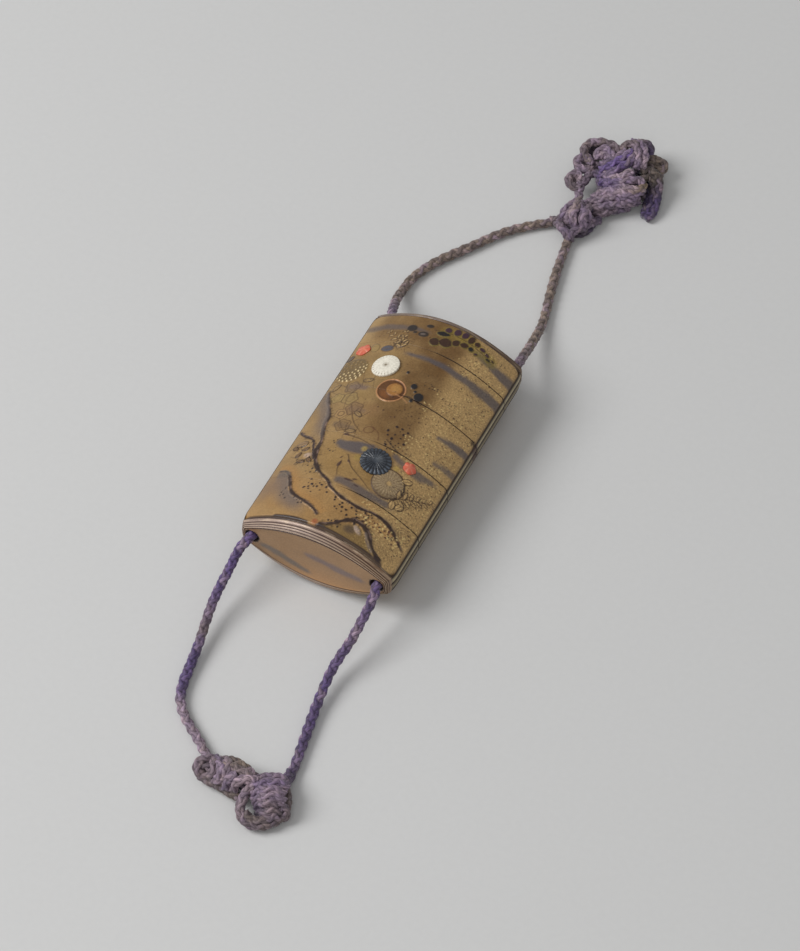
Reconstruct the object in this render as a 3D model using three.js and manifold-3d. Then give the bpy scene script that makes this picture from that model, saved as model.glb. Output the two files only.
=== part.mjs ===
// An inro: a stack of four lacquered cases and a lid, held between two braided silk cords.
// Millimetres, +Z up. The case lies on its back: X runs across it, Y from its bottom end to its lid.
import * as THREE from "three";
import { mergeVertices } from "three/addons/utils/BufferGeometryUtils.js";
import Module from "manifold-3d";

const wasm = await Module();
wasm.setup();

// Driving sizes of the case
const caseLength = 80;
const halfWidth = 21.2; // at the side bands
const domeRise = 8.45; // of the front and of the back, above the side bands
const bandHalf = 2.6; // half the height of a side band
const panelLift = 0.45; // how far the decorated panels stand proud
const panelHalf = 20.5; // half the width of a panel
const caseCount = 4;
const lidHeight = 13.2;
const caseHeight = (caseLength - lidHeight) / caseCount;
const seamGap = 0.3;

// Reeded moulding round each end
const mouldingLength = 2.4;
const mouldingInset = 2.9; // of the end face, up and down
const sideInset = 2; // of the end face, at the sides
const grooveLength = 0.35; // between the moulding and the panel
const grooveDepth = 0.35;
const rollShare = 0.36; // the wide roll's share of the moulding's quarter turn
const ridgeCount = 4;
const ridgeDepth = 0.2;

// Walls
const socketWall = 1.1; // where the piece below plugs in
const fitGap = 0.3;
const riserWall = 0.9;
const riserHeight = 4.3;
const floorWall = 1.3;
const endWall = 2.6;
const cavityWall = socketWall + fitGap + riserWall;
const cavityHalf = 13.4; // half the width of the hollow, which stops short of the cord channels
const channelX = 17.25;
const channelRadius = 1.85;

// Sampling of the curves
const archSteps = 14;
const hollowSteps = 8;
const roundSides = 16;

// The back is flat for one step of the arch each side of the middle, and rests there
const restHalf = (2 * panelHalf) / archSteps;
const arch = (x) => domeRise * (1 - (x / halfWidth) ** 2);
const midZ = bandHalf + arch(restHalf) + panelLift;
const frontZ = (x) => midZ + bandHalf + arch(x) + panelLift;

// Cord
const cordRadius = 1.45;
const cordSides = 8;
const cordStep = 6.2;
const insideEnd = 33.6; // where the run inside the channels stops, from the middle of the case
const jointGap = 0.3; // between one length of cord and the next
const cordX = channelX + 0.25; // it is pulled to the outer side of its channel

const finish = {
  lacquer: { color: 0x9c7a45, roughness: 0.35, metalness: 0.35 },
  lid: { color: 0x8f7142, roughness: 0.35, metalness: 0.35 },
  ivory: { color: 0xe6ddca, roughness: 0.5, metalness: 0 },
  coral: { color: 0xd8705a, roughness: 0.4, metalness: 0 },
  pewter: { color: 0x3c4347, roughness: 0.45, metalness: 0.4 },
  silk: { color: 0x66556f, roughness: 0.85, metalness: 0 },
};

// A closed mesh of shared points as a solid, turned face out
function solidFrom(geometry) {
  const bare = geometry.index ? geometry.toNonIndexed() : geometry.clone();
  bare.deleteAttribute("normal");
  bare.deleteAttribute("uv");
  const merged = mergeVertices(bare, 1e-4);
  const vertProperties = new Float32Array(merged.attributes.position.array);
  const triVerts = new Uint32Array(merged.index.array);
  const solid = new wasm.Manifold(new wasm.Mesh({ numProp: 3, vertProperties, triVerts }));
  if (solid.volume() > 0) return solid;
  return new wasm.Manifold(
    new wasm.Mesh({ numProp: 3, vertProperties, triVerts: triVerts.reverse() }),
  );
}

function geometryOf(solid) {
  const mesh = solid.getMesh();
  const geometry = new THREE.BufferGeometry();
  const position = new Float32Array(mesh.numVert * 3);
  for (let i = 0; i < mesh.numVert; i++) {
    position.set(mesh.vertProperties.subarray(i * mesh.numProp, i * mesh.numProp + 3), i * 3);
  }
  geometry.setAttribute("position", new THREE.BufferAttribute(position, 3));
  geometry.setIndex(new THREE.BufferAttribute(mesh.triVerts, 1));
  geometry.computeVertexNormals();
  return geometry;
}

// Skins equal rings of points, in order, into a closed body with a fan on each end
function loft(rings) {
  const count = rings[0].length;
  const position = rings.flat();
  const index = [];
  for (let r = 0; r + 1 < rings.length; r++) {
    for (let i = 0; i < count; i++) {
      const a = r * count + i;
      const b = r * count + ((i + 1) % count);
      index.push(a, b, a + count, b, b + count, a + count);
    }
  }
  const centre = (ring) => ring.reduce((s, p) => s.map((v, k) => v + p[k] / count), [0, 0, 0]);
  const last = (rings.length - 1) * count;
  const first = position.push(centre(rings[0])) - 1;
  const top = position.push(centre(rings[rings.length - 1])) - 1;
  for (let i = 0; i < count; i++) {
    const j = (i + 1) % count;
    index.push(first, j, i);
    index.push(top, last + i, last + j);
  }
  const geometry = new THREE.BufferGeometry();
  geometry.setAttribute("position", new THREE.Float32BufferAttribute(position.flat(), 3));
  geometry.setIndex(index);
  return solidFrom(geometry);
}

// One ring of the outside at a height along the case: front arch, side bead, back arch, side bead.
// The inset draws it in towards the middle, as the moulding does.
function outsideRing(y, inset, lift) {
  const share = inset / mouldingInset;
  const scaleX = 1 - (share * sideInset) / halfWidth;
  const scaleZ = 1 - inset / (bandHalf + domeRise);
  const bead = [
    [halfWidth - 0.4, bandHalf - 0.2],
    [halfWidth - 0.1, bandHalf * 0.65],
    [halfWidth + 0.2, bandHalf * 0.3],
  ];
  const half = [];
  for (let k = 0; k <= archSteps; k++) {
    const x = panelHalf * (1 - (2 * k) / archSteps);
    half.push([x, bandHalf + arch(x) + lift]);
  }
  for (const [x, z] of bead) half.push([-x, z]);
  for (const [x, z] of bead.toReversed()) half.push([-x, -z]);
  const around = [...half, ...half.map(([x, z]) => [-x, -z])];
  return around.map(([x, z]) => [x * scaleX, y, Math.max(0, midZ + z * scaleZ)]);
}

// The moulding's profile, from the panel to the end face: [distance from the end, inset]
function mouldingProfile() {
  const steps = [];
  const turn = (share, extra) => {
    const angle = (share * Math.PI) / 2;
    const inset = mouldingInset * (1 - Math.cos(angle)) + extra;
    steps.push([mouldingLength * (1 - Math.sin(angle)), Math.min(inset, mouldingInset)]);
  };
  turn(0, grooveDepth / 2);
  turn(rollShare * 0.35, 0);
  turn(rollShare * 0.75, 0);
  for (let k = 0; k < ridgeCount; k++) {
    const from = rollShare + ((1 - rollShare) * k) / ridgeCount;
    turn(from, ridgeDepth);
    turn(from + (1 - rollShare) / ridgeCount / 2, 0);
  }
  turn(1, 0);
  return steps;
}

// The outside between two heights, with the moulding where the piece has an end of the case
function outside(low, high, bottomEnd, topEnd) {
  const rings = [];
  const profile = mouldingProfile();
  const panelEnd = caseLength / 2 - mouldingLength - grooveLength;
  if (bottomEnd) {
    for (const [away, inset] of profile.toReversed()) {
      rings.push(outsideRing(away - caseLength / 2, inset, 0));
    }
    rings.push(outsideRing(-panelEnd - grooveLength / 2, grooveDepth, 0));
    rings.push(outsideRing(-panelEnd, 0, panelLift));
  } else {
    rings.push(outsideRing(low, 0, panelLift));
  }
  if (topEnd) {
    rings.push(outsideRing(panelEnd, 0, panelLift));
    rings.push(outsideRing(panelEnd + grooveLength / 2, grooveDepth, 0));
    for (const [away, inset] of profile) {
      rings.push(outsideRing(caseLength / 2 - away, inset, 0));
    }
  } else {
    rings.push(outsideRing(high, 0, panelLift));
  }
  return loft(rings);
}

// A lens with flat sides, as deep as the outside less a wall: the hollow, the riser or the socket
function lens(low, high, wall) {
  const reach = cavityHalf + (cavityWall - wall);
  const front = [];
  for (let k = 0; k <= hollowSteps; k++) {
    const x = reach * (1 - (2 * k) / hollowSteps);
    front.push([x, bandHalf + arch(x) + panelLift - wall]);
  }
  const around = [...front, ...front.map(([x, z]) => [-x, -z])];
  const ring = (y) => around.map(([x, z]) => [x, y, midZ + z]);
  return loft([ring(low), ring(high)]);
}

function channel(side) {
  const bore = new THREE.CylinderGeometry(
    channelRadius,
    channelRadius,
    caseLength + 2,
    roundSides,
  );
  bore.translate(side * channelX, 0, midZ);
  return solidFrom(bore);
}

const seams = [];
for (let k = 0; k <= caseCount; k++) seams.push(caseLength / 2 - lidHeight - k * caseHeight);

// Raised work: a round motif that follows the front, with its height given by radius and angle.
// It starts below the surface by sink, or above it when sink is negative.
function roundMotif({ at, radius, height, scallop = 0, petals = 0, sink, rings, sides }) {
  const [cx, cy] = at;
  const position = [];
  const put = (x, y, lift) => position.push([x, y, frontZ(x) + lift]) - 1;
  const levels = [];
  for (const lower of [true, false]) {
    for (const share of rings) {
      const level = [];
      for (let i = 0; i < sides; i++) {
        const angle = (2 * Math.PI * i) / sides;
        const edge = radius * (1 + scallop * Math.cos(petals * angle));
        const x = cx + edge * share * Math.cos(angle);
        const y = cy + edge * share * Math.sin(angle);
        level.push(put(x, y, lower ? -sink : height(share, angle)));
      }
      levels.push(level);
    }
  }
  const index = [];
  const quad = (a, b, c, d) => index.push(a, b, c, a, c, d);
  const lower = levels.slice(0, rings.length);
  const upper = levels.slice(rings.length);
  for (let i = 0; i < sides; i++) {
    const j = (i + 1) % sides;
    for (let r = 0; r + 1 < rings.length; r++) {
      quad(upper[r][i], upper[r + 1][i], upper[r + 1][j], upper[r][j]);
      quad(lower[r][j], lower[r + 1][j], lower[r + 1][i], lower[r][i]);
    }
    const rim = rings.length - 1;
    quad(upper[rim][i], lower[rim][i], lower[rim][j], upper[rim][j]);
  }
  const crown = put(cx, cy, height(0, 0));
  const root = put(cx, cy, -sink);
  for (let i = 0; i < sides; i++) {
    const j = (i + 1) % sides;
    index.push(crown, upper[0][i], upper[0][j]);
    index.push(root, lower[0][j], lower[0][i]);
  }
  const geometry = new THREE.BufferGeometry();
  geometry.setAttribute("position", new THREE.Float32BufferAttribute(position.flat(), 3));
  geometry.setIndex(index);
  return solidFrom(geometry);
}

// A raised contour of a rock: a low ridge that follows the front along a curve
const rock = { width: 1.1, height: 0.4, sink: 0.6, pitch: 2.6 };
function rockRidge(points) {
  const curve = new THREE.CatmullRomCurve3(points.map(([x, y]) => new THREE.Vector3(x, y, 0)));
  const steps = Math.round(curve.getLength() / rock.pitch);
  const rings = [];
  for (let k = 0; k <= steps; k++) {
    const at = curve.getPointAt(k / steps);
    const along = curve.getTangentAt(k / steps);
    const across = [-along.y, along.x];
    const profile = [
      [-rock.width / 2, -rock.sink],
      [rock.width / 2, -rock.sink],
      [rock.width / 2, 0.05],
      [0, rock.height],
      [-rock.width / 2, 0.05],
    ];
    rings.push(
      profile.map(([side, lift]) => {
        const x = at.x + side * across[0];
        return [x, at.y + side * across[1], frontZ(x) + lift];
      }),
    );
  }
  return loft(rings);
}

// The motifs raised in the lacquer, as they lie on the front
const ringHeight = (share) => {
  if (share > 0.95) return 0.25;
  if (share > 0.8) return 0.6;
  if (share > 0.6) return 0.1;
  return 0.5;
};
const motifRadius = 4.1;
const raised = [
  roundMotif({
    at: [-3.2, 10.5],
    radius: motifRadius,
    height: ringHeight,
    sink: 0.6,
    rings: [0.55, 0.66, 0.84, 0.9, 1],
    sides: roundSides,
  }),
  roundMotif({
    at: [9.3, -16.7],
    radius: motifRadius + 0.1,
    height: (share) => 0.45 - 0.2 * share * share,
    sink: 0.6,
    rings: [0.5, 1],
    sides: roundSides,
  }),
  rockRidge([
    [-19, 5], [-15.6, -1.5], [-14.1, -5.5], [-13.4, -10.6], [-11.6, -16.3], [-8, -21],
    [-1.5, -25.5], [5, -27.9], [11.5, -26.2], [16, -27.6], [19.4, -29.8],
  ]),
  rockRidge([[-19.4, -21], [-16.6, -22], [-14.1, -25.7], [-10.6, -29.1], [-6.2, -31], [-2, -33.6]]),
  rockRidge([[0.4, -34], [3, -33.4], [5.8, -31.4], [9, -31], [12.4, -32.6], [15.6, -33.8]]),
];

function slab(low, high) {
  const block = new THREE.BoxGeometry(3 * halfWidth, high - low, 4 * midZ);
  block.translate(0, (low + high) / 2, midZ);
  return solidFrom(block);
}

// One piece of the stack. Every piece but the lowest has a socket below, every one but the lid a riser.
function stackPiece(low, high, bottomEnd, topEnd) {
  const from = bottomEnd ? low : low + seamGap / 2;
  const to = topEnd ? high : high - seamGap / 2;
  const inner = bottomEnd ? endWall : riserHeight + fitGap + floorWall;
  let solid = outside(from, to, bottomEnd, topEnd);
  const band = slab(from, to);
  for (const motif of raised) solid = solid.add(motif.intersect(band));
  if (topEnd) {
    solid = solid.subtract(lens(from - 1, from + riserHeight + fitGap, socketWall));
    solid = solid.subtract(lens(from, to - endWall, cavityWall));
  } else {
    solid = solid.add(lens(to - 1, to + riserHeight, socketWall + fitGap));
    solid = solid.subtract(lens(from + inner, to + riserHeight + 1, cavityWall));
    if (!bottomEnd) {
      solid = solid.subtract(lens(from - 1, from + riserHeight + fitGap, socketWall));
    }
  }
  for (const side of [-1, 1]) solid = solid.subtract(channel(side));
  return geometryOf(solid);
}

const inro = new THREE.Group();
function add(name, geometry, look) {
  const mesh = new THREE.Mesh(geometry, new THREE.MeshStandardMaterial(finish[look]));
  mesh.name = name;
  inro.add(mesh);
}

add("lid", stackPiece(seams[0], caseLength / 2, false, true), "lid");
for (let k = 1; k <= caseCount; k++) {
  add(`case_${k}`, stackPiece(seams[k], seams[k - 1], k === caseCount, false), "lacquer");
}

// Set pieces: thin carved flowers and buds that sit on the front
const setGap = -0.3;
const dome = (low, high) => (share) => low + (high - low) * (1 - share * share);
add(
  "white_flower",
  geometryOf(
    roundMotif({
      at: [-8.4, 17.8],
      radius: 4,
      height: dome(0.6, 0.95),
      scallop: 0.03,
      petals: 8,
      sink: setGap,
      rings: [0.5, 1],
      sides: 32,
    }),
  ),
  "ivory",
);
add(
  "dark_flower",
  geometryOf(
    roundMotif({
      at: [3.8, -12.3],
      radius: 4.1,
      height: dome(0.6, 1),
      scallop: 0.03,
      petals: 8,
      sink: setGap,
      rings: [0.5, 1],
      sides: 32,
    }),
  ),
  "pewter",
);
for (const [name, at, radius] of [
  ["coral_bud_upper", [-17.8, 23.6], 1.9],
  ["coral_bud_lower", [11.7, -8.9], 1.6],
]) {
  const motif = { at, radius, height: dome(0.5, 0.9), sink: setGap, rings: [0.5, 1], sides: 12 };
  add(name, geometryOf(roundMotif(motif)), "coral");
}

// Cord: a plain round section drawn along a curve through the points of its route
function cordAlong(points, pitch) {
  const curve = new THREE.CatmullRomCurve3(points.map((p) => new THREE.Vector3(...p)));
  const section = new THREE.Shape();
  for (let k = 0; k < cordSides; k++) {
    const angle = (2 * Math.PI * (k + 0.5)) / cordSides;
    const corner = [cordRadius * Math.cos(angle), cordRadius * Math.sin(angle)];
    if (k === 0) section.moveTo(...corner);
    else section.lineTo(...corner);
  }
  section.closePath();
  const steps = Math.round(curve.getLength() / pitch);
  return geometryOf(
    solidFrom(
      new THREE.ExtrudeGeometry(section, { extrudePath: curve, steps, bevelEnabled: false }),
    ),
  );
}

// The four free lengths, from inside the case out to the knots, lying on the floor
const floorZ = cordRadius + 0.05;
const exitAt = (x, y) => [
  [x, y * (insideEnd + jointGap), midZ],
  [x, y * 37, midZ],
  [x, y * 40, midZ],
];
const routes = {
  cord_lower_left: [
    ...exitAt(-cordX, -1),
    [-18.2, -43.6, 10.2], [-19.2, -48.4, 6.2], [-20, -52.6, 3], [-20.1, -56.6, floorZ],
    [-19, -62, floorZ], [-17.4, -69, floorZ], [-16.2, -75.6, floorZ], [-15.2, -81.2, floorZ],
    [-13.7, -85.6, floorZ], [-11.2, -89, floorZ], [-7.9, -91.8, floorZ], [-4, -94.6, floorZ],
    [-0.8, -97.2, floorZ], [1.2, -99, floorZ],
  ],
  cord_lower_right: [
    ...exitAt(cordX, -1),
    [17.7, -43.6, 10.2], [17.2, -48, 6.4], [16.5, -52.4, 3.2], [16, -57, floorZ],
    [16.1, -62, floorZ], [16.8, -68, floorZ], [17.8, -74, floorZ], [19, -80, floorZ],
    [20.1, -86, floorZ], [21.1, -91.4, floorZ], [21.6, -96, floorZ], [21.4, -99, floorZ],
  ],
  cord_upper_left: [
    ...exitAt(-cordX, 1),
    [-19, 43.4, 10.3], [-21, 48.4, 7], [-22.8, 54, 3.8], [-23.8, 59, floorZ + 0.3],
    [-23.6, 63.4, floorZ], [-21.9, 68.8, floorZ], [-19.4, 73.6, floorZ], [-16.5, 78, floorZ],
    [-13.6, 82.4, floorZ], [-10.8, 86.8, floorZ], [-7.6, 91, floorZ], [-4, 94.6, floorZ],
    [-0.4, 97.6, floorZ], [1.6, 99, floorZ],
  ],
  cord_upper_right: [
    ...exitAt(cordX, 1),
    [17.9, 43.6, 10.4], [18, 46.6, 8.8], [17.6, 50.4, 6.8], [16.9, 54.6, 5], [16, 59.4, 3.3],
    [15, 63.9, 2.1], [13.8, 69, floorZ], [12.2, 75, floorZ], [10.8, 81, floorZ],
    [9.6, 87, floorZ], [8.7, 92.4, floorZ], [8, 96.4, floorZ],
  ],
};
for (const [name, points] of Object.entries(routes)) {
  add(name, cordAlong(points, cordStep), "silk");
}
for (const [name, side] of [["cord_left_inside", -1], ["cord_right_inside", 1]]) {
  const run = [-insideEnd, 0, insideEnd].map((y) => [side * cordX, y, midZ]);
  add(name, cordAlong(run, insideEnd), "silk");
}

// Each knot as one lump of the room it takes up, less the ends of the cords that enter it
const lumpSides = 10;
const lumpRows = 6;
function knot(lumps, cords) {
  let solid = null;
  for (const [x, y, z, rx, ry, rz] of lumps) {
    const ball = new THREE.SphereGeometry(1, lumpSides, lumpRows);
    ball.rotateX(Math.PI / 2);
    ball.scale(rx, ry, rz);
    ball.translate(x, y, z);
    solid = solid ? solid.add(solidFrom(ball)) : solidFrom(ball);
  }
  const floor = slab(-2 * caseLength, 2 * caseLength).translate([0, 0, -3 * midZ]);
  solid = solid.subtract(floor);
  for (const name of cords) {
    const end = routes[name].at(-1);
    const cut = new THREE.SphereGeometry(cordRadius + 2 * jointGap, lumpSides, lumpRows);
    cut.translate(...end);
    solid = solid.subtract(solidFrom(cut));
  }
  return geometryOf(solid);
}
add(
  "lower_knot",
  knot(
    [
      [4.2, -103.5, 3.3, 4, 3.7, 3.3],
      [9, -102.9, 3.5, 4.8, 4, 3.6],
      [14.4, -103.4, 3.2, 5, 4.4, 3.3],
      [19.8, -106.6, 2.9, 7, 6.9, 3],
    ],
    ["cord_lower_left", "cord_lower_right"],
  ),
  "silk",
);
add(
  "upper_knot",
  knot(
    [
      [6.3, 100.4, 3.6, 5.2, 5.4, 3.9],
      [4.9, 108.6, 4.6, 2.5, 5.4, 2.8],
      [2.7, 111.6, 5.7, 3, 2.8, 2.3],
      [4, 117, 5.4, 2.4, 4.4, 3.1],
      [3, 121.6, 7.4, 2.9, 3.9, 2.6],
      [7, 124.6, 7.4, 5.4, 3, 3.2],
      [13.8, 118.8, 5.2, 7.6, 8.6, 5.9],
      [14.4, 126.2, 7.3, 4.4, 4.6, 4.3],
      [19.4, 125.4, 6, 3.8, 4.3, 2.7],
      [22.4, 117.2, 4.6, 3.3, 7.2, 4.6],
      [11.6, 106.6, 4.6, 4.4, 3.4, 3.2],
      [17, 111, 5, 4.8, 4, 3.8],
    ],
    ["cord_upper_left", "cord_upper_right"],
  ),
  "silk",
);

export default inro;
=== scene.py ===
import math

import bpy
import numpy as np
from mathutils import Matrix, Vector
from mathutils.geometry import delaunay_2d_cdt


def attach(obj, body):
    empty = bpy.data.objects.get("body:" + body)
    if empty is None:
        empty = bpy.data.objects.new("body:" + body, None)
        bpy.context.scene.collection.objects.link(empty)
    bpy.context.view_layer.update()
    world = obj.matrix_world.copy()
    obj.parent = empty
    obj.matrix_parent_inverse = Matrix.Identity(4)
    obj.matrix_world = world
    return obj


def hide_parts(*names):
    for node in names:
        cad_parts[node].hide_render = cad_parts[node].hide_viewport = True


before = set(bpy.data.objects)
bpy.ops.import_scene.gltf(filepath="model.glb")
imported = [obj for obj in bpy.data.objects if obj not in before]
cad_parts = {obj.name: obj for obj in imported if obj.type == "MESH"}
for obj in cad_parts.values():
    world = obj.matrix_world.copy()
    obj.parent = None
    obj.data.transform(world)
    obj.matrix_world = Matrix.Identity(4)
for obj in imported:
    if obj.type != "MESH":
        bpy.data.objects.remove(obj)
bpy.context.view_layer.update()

mm = 0.001  # shapes are worked out in millimetres and scaled when their mesh is made
floorGap = 0.02  # nothing comes closer to the floor than this


def tone(red, green, blue):
    # a colour as a screen shows it, turned into the linear one that a shader takes
    share = np.array([red, green, blue]) / 255
    return np.where(share <= 0.04045, share / 12.92, ((share + 0.055) / 1.055) ** 2.4)


def ease(low, high, value):
    share = np.clip((value - low) / (high - low), 0, 1)
    return share * share * (3 - 2 * share)


def patchy(x, y, size, seed):
    # smooth random field from 0 to 1, with blotches about one size across
    def corner(i, j):
        value = np.sin(i * 127.1 + j * 311.7 + seed * 74.7) * 43758.5453
        return value - np.floor(value)

    u, v = x / size, y / size
    i, j = np.floor(u), np.floor(v)
    a, b = ease(0, 1, u - i), ease(0, 1, v - j)
    low = corner(i, j) * (1 - a) + corner(i + 1, j) * a
    high = corner(i, j + 1) * (1 - a) + corner(i + 1, j + 1) * a
    return low * (1 - b) + high * b


def cloudy(x, y, size, seed):
    # three sizes of blotches on each other
    layers = ((0.55, 1), (0.3, 2.1), (0.15, 4.3))
    return sum(part * patchy(x, y, size / finer, seed + k) for k, (part, finer) in enumerate(layers))


def curveThrough(points, step, closed=False):
    # an even run of points on a smooth curve through the given ones
    given = np.array(points, float)
    if closed:
        given = np.vstack([given[-1:], given, given[:2]])
    else:
        given = np.vstack([2 * given[0] - given[1], given, 2 * given[-1] - given[-2]])
    gaps = np.maximum(np.linalg.norm(np.diff(given, axis=0), axis=1), 1e-6)
    knots = np.concatenate([[0], np.cumsum(np.sqrt(gaps))])
    dense = []
    for k in range(1, len(given) - 2):
        t = np.linspace(knots[k], knots[k + 1], 24, endpoint=False)[:, None]
        p, at = given[k - 1 : k + 3], knots[k - 1 : k + 3]

        def blend(a, b, i, j):
            return (at[j] - t) / (at[j] - at[i]) * a + (t - at[i]) / (at[j] - at[i]) * b

        a1, a2, a3 = blend(p[0], p[1], 0, 1), blend(p[1], p[2], 1, 2), blend(p[2], p[3], 2, 3)
        dense.append(blend(blend(a1, a2, 0, 2), blend(a2, a3, 1, 3), 1, 2))
    dense = np.vstack(dense + [given[-2][None, :]])
    run = runAlong(dense)
    even = np.linspace(0, run[-1], max(3, int(round(run[-1] / step)) + 1))
    line = np.stack([np.interp(even, run, dense[:, k]) for k in range(given.shape[1])], 1)
    return line[:-1] if closed else line


def runAlong(line):
    # distance along a line at each of its points
    return np.concatenate([[0], np.cumsum(np.linalg.norm(np.diff(line, axis=0), axis=1))])


def makeMesh(name, points, faces, colour, extra):
    # points in millimetres, faces as lists of corners, one linear colour a point
    mesh = bpy.data.meshes.new(name)
    mesh.from_pydata((np.asarray(points) * mm).tolist(), [], faces)
    colours = np.ones((len(points), 4))
    colours[:, :3] = colour
    mesh.color_attributes.new("paint", "FLOAT_COLOR", "POINT").data.foreach_set("color", colours.ravel())
    for key, values in extra.items():
        kind, field = ("FLOAT", "value") if values.ndim == 1 else ("FLOAT_VECTOR", "vector")
        mesh.attributes.new(key, kind, "POINT").data.foreach_set(field, values.ravel())
    mesh.validate()
    mesh.shade_smooth()
    obj = bpy.data.objects.new(name, mesh)
    bpy.context.scene.collection.objects.link(obj)
    return obj


def gridFaces(rows, columns):
    # quads between closed rings of points
    i = np.arange(rows - 1)[:, None] * columns
    j = np.arange(columns)[None, :]
    k = (j + 1) % columns
    return np.stack([i + j, i + k, i + columns + k, i + columns + j], -1).reshape(-1, 4).tolist()


view = {
    "lookAt": (7.2 * mm, -5.4 * mm, 11.3 * mm),
    "azimuth": 26.4,
    "elevation": 51.39,
    "distance": 1.019,
    "lens": 151.0,
}


def placeCamera():
    data = bpy.data.cameras.new("camera")
    data.lens = view["lens"]
    data.sensor_width = 36
    data.clip_start = 0.05
    camera = bpy.data.objects.new("camera", data)
    bpy.context.scene.collection.objects.link(camera)
    azimuth, elevation = math.radians(view["azimuth"]), math.radians(view["elevation"])
    flat = math.cos(elevation)
    back = Vector((math.sin(azimuth) * flat, -math.cos(azimuth) * flat, math.sin(elevation)))
    camera.location = Vector(view["lookAt"]) + back * view["distance"]
    camera.rotation_euler = back.to_track_quat("Z", "Y").to_euler()
    bpy.context.scene.camera = camera


placeCamera()
print("camera placed")


def newMaterial(name, rough):
    material = bpy.data.materials.new(name)
    material.use_nodes = True
    tree = material.node_tree
    shader = tree.nodes["Principled BSDF"]
    shader.inputs["Roughness"].default_value = rough
    return material, tree, shader, node(tree, "TexCoord").outputs["Object"]


def node(tree, kind, **settings):
    made = tree.nodes.new("ShaderNode" + kind)
    for key, value in settings.items():
        if key in made.inputs:
            made.inputs[key].default_value = value
        else:
            setattr(made, key, value)
    return made


def feed(tree, socket, value):
    # a link or a plain value
    if isinstance(value, bpy.types.NodeSocket):
        tree.links.new(value, socket)
    else:
        socket.default_value = value


def mixColour(tree, share, low, high, blend="MIX"):
    mix = node(tree, "Mix", data_type="RGBA", blend_type=blend)
    for socket, value in ((0, share), (6, low), (7, high)):
        feed(tree, mix.inputs[socket], value)
    return mix.outputs[2]


def maths(tree, operation, first, second):
    step = node(tree, "Math", operation=operation)
    feed(tree, step.inputs[0], first)
    feed(tree, step.inputs[1], second)
    return step.outputs[0]


def ramp(tree, value, low, high, least=0.0, most=1.0, kind="SMOOTHSTEP"):
    step = node(tree, "MapRange", interpolation_type=kind)
    for name, number in (("From Min", low), ("From Max", high), ("To Min", least), ("To Max", most)):
        step.inputs[name].default_value = number
    tree.links.new(value, step.inputs["Value"])
    return step.outputs["Result"]


def noise(tree, place, scale, detail, roughness=0.5):
    made = node(tree, "TexNoise", Scale=scale, Detail=detail, Roughness=roughness)
    tree.links.new(place, made.inputs["Vector"])
    return made.outputs["Fac"]


def shadeBy(tree, colour, share, low, high, strength=1.0):
    # multiplies a colour by something between two others
    return mixColour(tree, strength, colour, mixColour(tree, share, (*low, 1), (*high, 1)), "MULTIPLY")


def addBump(tree, shader, height, strength, depth):
    bump = node(tree, "Bump", Strength=strength, Distance=depth * mm)
    tree.links.new(height, bump.inputs["Height"])
    tree.links.new(bump.outputs["Normal"], shader.inputs["Normal"])


lacquerLook = {
    "goldFlake": tone(214, 182, 120),
    "darkFlake": tone(52, 36, 24),
    "flakesPerMm": 2.6,
    "flakeEdge": (0.5, 0.3),
    "goldFrom": (1.38, 1.42),  # lower values show more flakes
    "darkFrom": (1.52, 1.56),
    "goldStrength": 0.75,
    "darkStrength": 0.8,
    "grainPerMm": 2.2,
    "powder": ((0.7, 0.67, 0.62), (1.28, 1.26, 1.22)),
    "rubPerMm": 0.25,
    "metal": 0.18,
    "rough": (0.4, 0.54),
    "coat": 0.15,
    "coatRough": 0.18,
    "bump": 0.25,
    "bumpDepth": 0.03,
}


def makeLacquer():
    look = lacquerLook
    material, tree, shader, place = newMaterial("goldLacquer", look["rough"][0])
    paint = node(tree, "Attribute", attribute_name="paint").outputs["Color"]
    flake = node(tree, "Attribute", attribute_name="flake").outputs["Fac"]
    metal = node(tree, "Attribute", attribute_name="metal").outputs["Fac"]
    cells = node(tree, "TexVoronoi", Scale=look["flakesPerMm"] / mm)
    tree.links.new(place, cells.inputs["Vector"])
    pick = node(tree, "SeparateColor")
    tree.links.new(cells.outputs["Color"], pick.inputs[0])
    spot = ramp(tree, cells.outputs["Distance"], *look["flakeEdge"])
    fine = noise(tree, place, look["grainPerMm"] / mm, 3.0, 0.7)
    dusty = maths(tree, "ADD", maths(tree, "MULTIPLY", flake, 1.2), 0.3)
    colour = shadeBy(tree, paint, ramp(tree, fine, 0.3, 0.72), *look["powder"], dusty)
    for k, kind in enumerate(("gold", "dark")):
        isFlake = ramp(tree, maths(tree, "ADD", pick.outputs[k], flake), *look[kind + "From"])
        share = maths(tree, "MULTIPLY", maths(tree, "MULTIPLY", isFlake, spot), look[kind + "Strength"])
        colour = mixColour(tree, share, colour, (*look[kind + "Flake"], 1))
    tree.links.new(colour, shader.inputs["Base Color"])
    tree.links.new(metal, shader.inputs["Metallic"])
    rub = noise(tree, place, look["rubPerMm"] / mm, 4.0, 0.6)
    tree.links.new(ramp(tree, rub, 0.3, 0.7, *look["rough"], "LINEAR"), shader.inputs["Roughness"])
    shader.inputs["Coat Weight"].default_value = look["coat"]
    shader.inputs["Coat Roughness"].default_value = look["coatRough"]
    addBump(tree, shader, fine, look["bump"], look["bumpDepth"])
    return material


silkLook = {
    "rough": 0.62,
    "sheen": 0.25,
    "sheenRough": 0.4,
    "threads": (9.0, 0.9, 3.0),  # a millimetre across a strand, along it, and from strand to strand
    "thread": ((0.62, 0.6, 0.62), (1.4, 1.38, 1.4)),
    "wornPerMm": 0.35,
    "worn": ((0.88, 0.86, 0.92), (1.12, 1.1, 1.02)),
    "bump": 0.6,
    "bumpDepth": 0.08,
}


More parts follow.
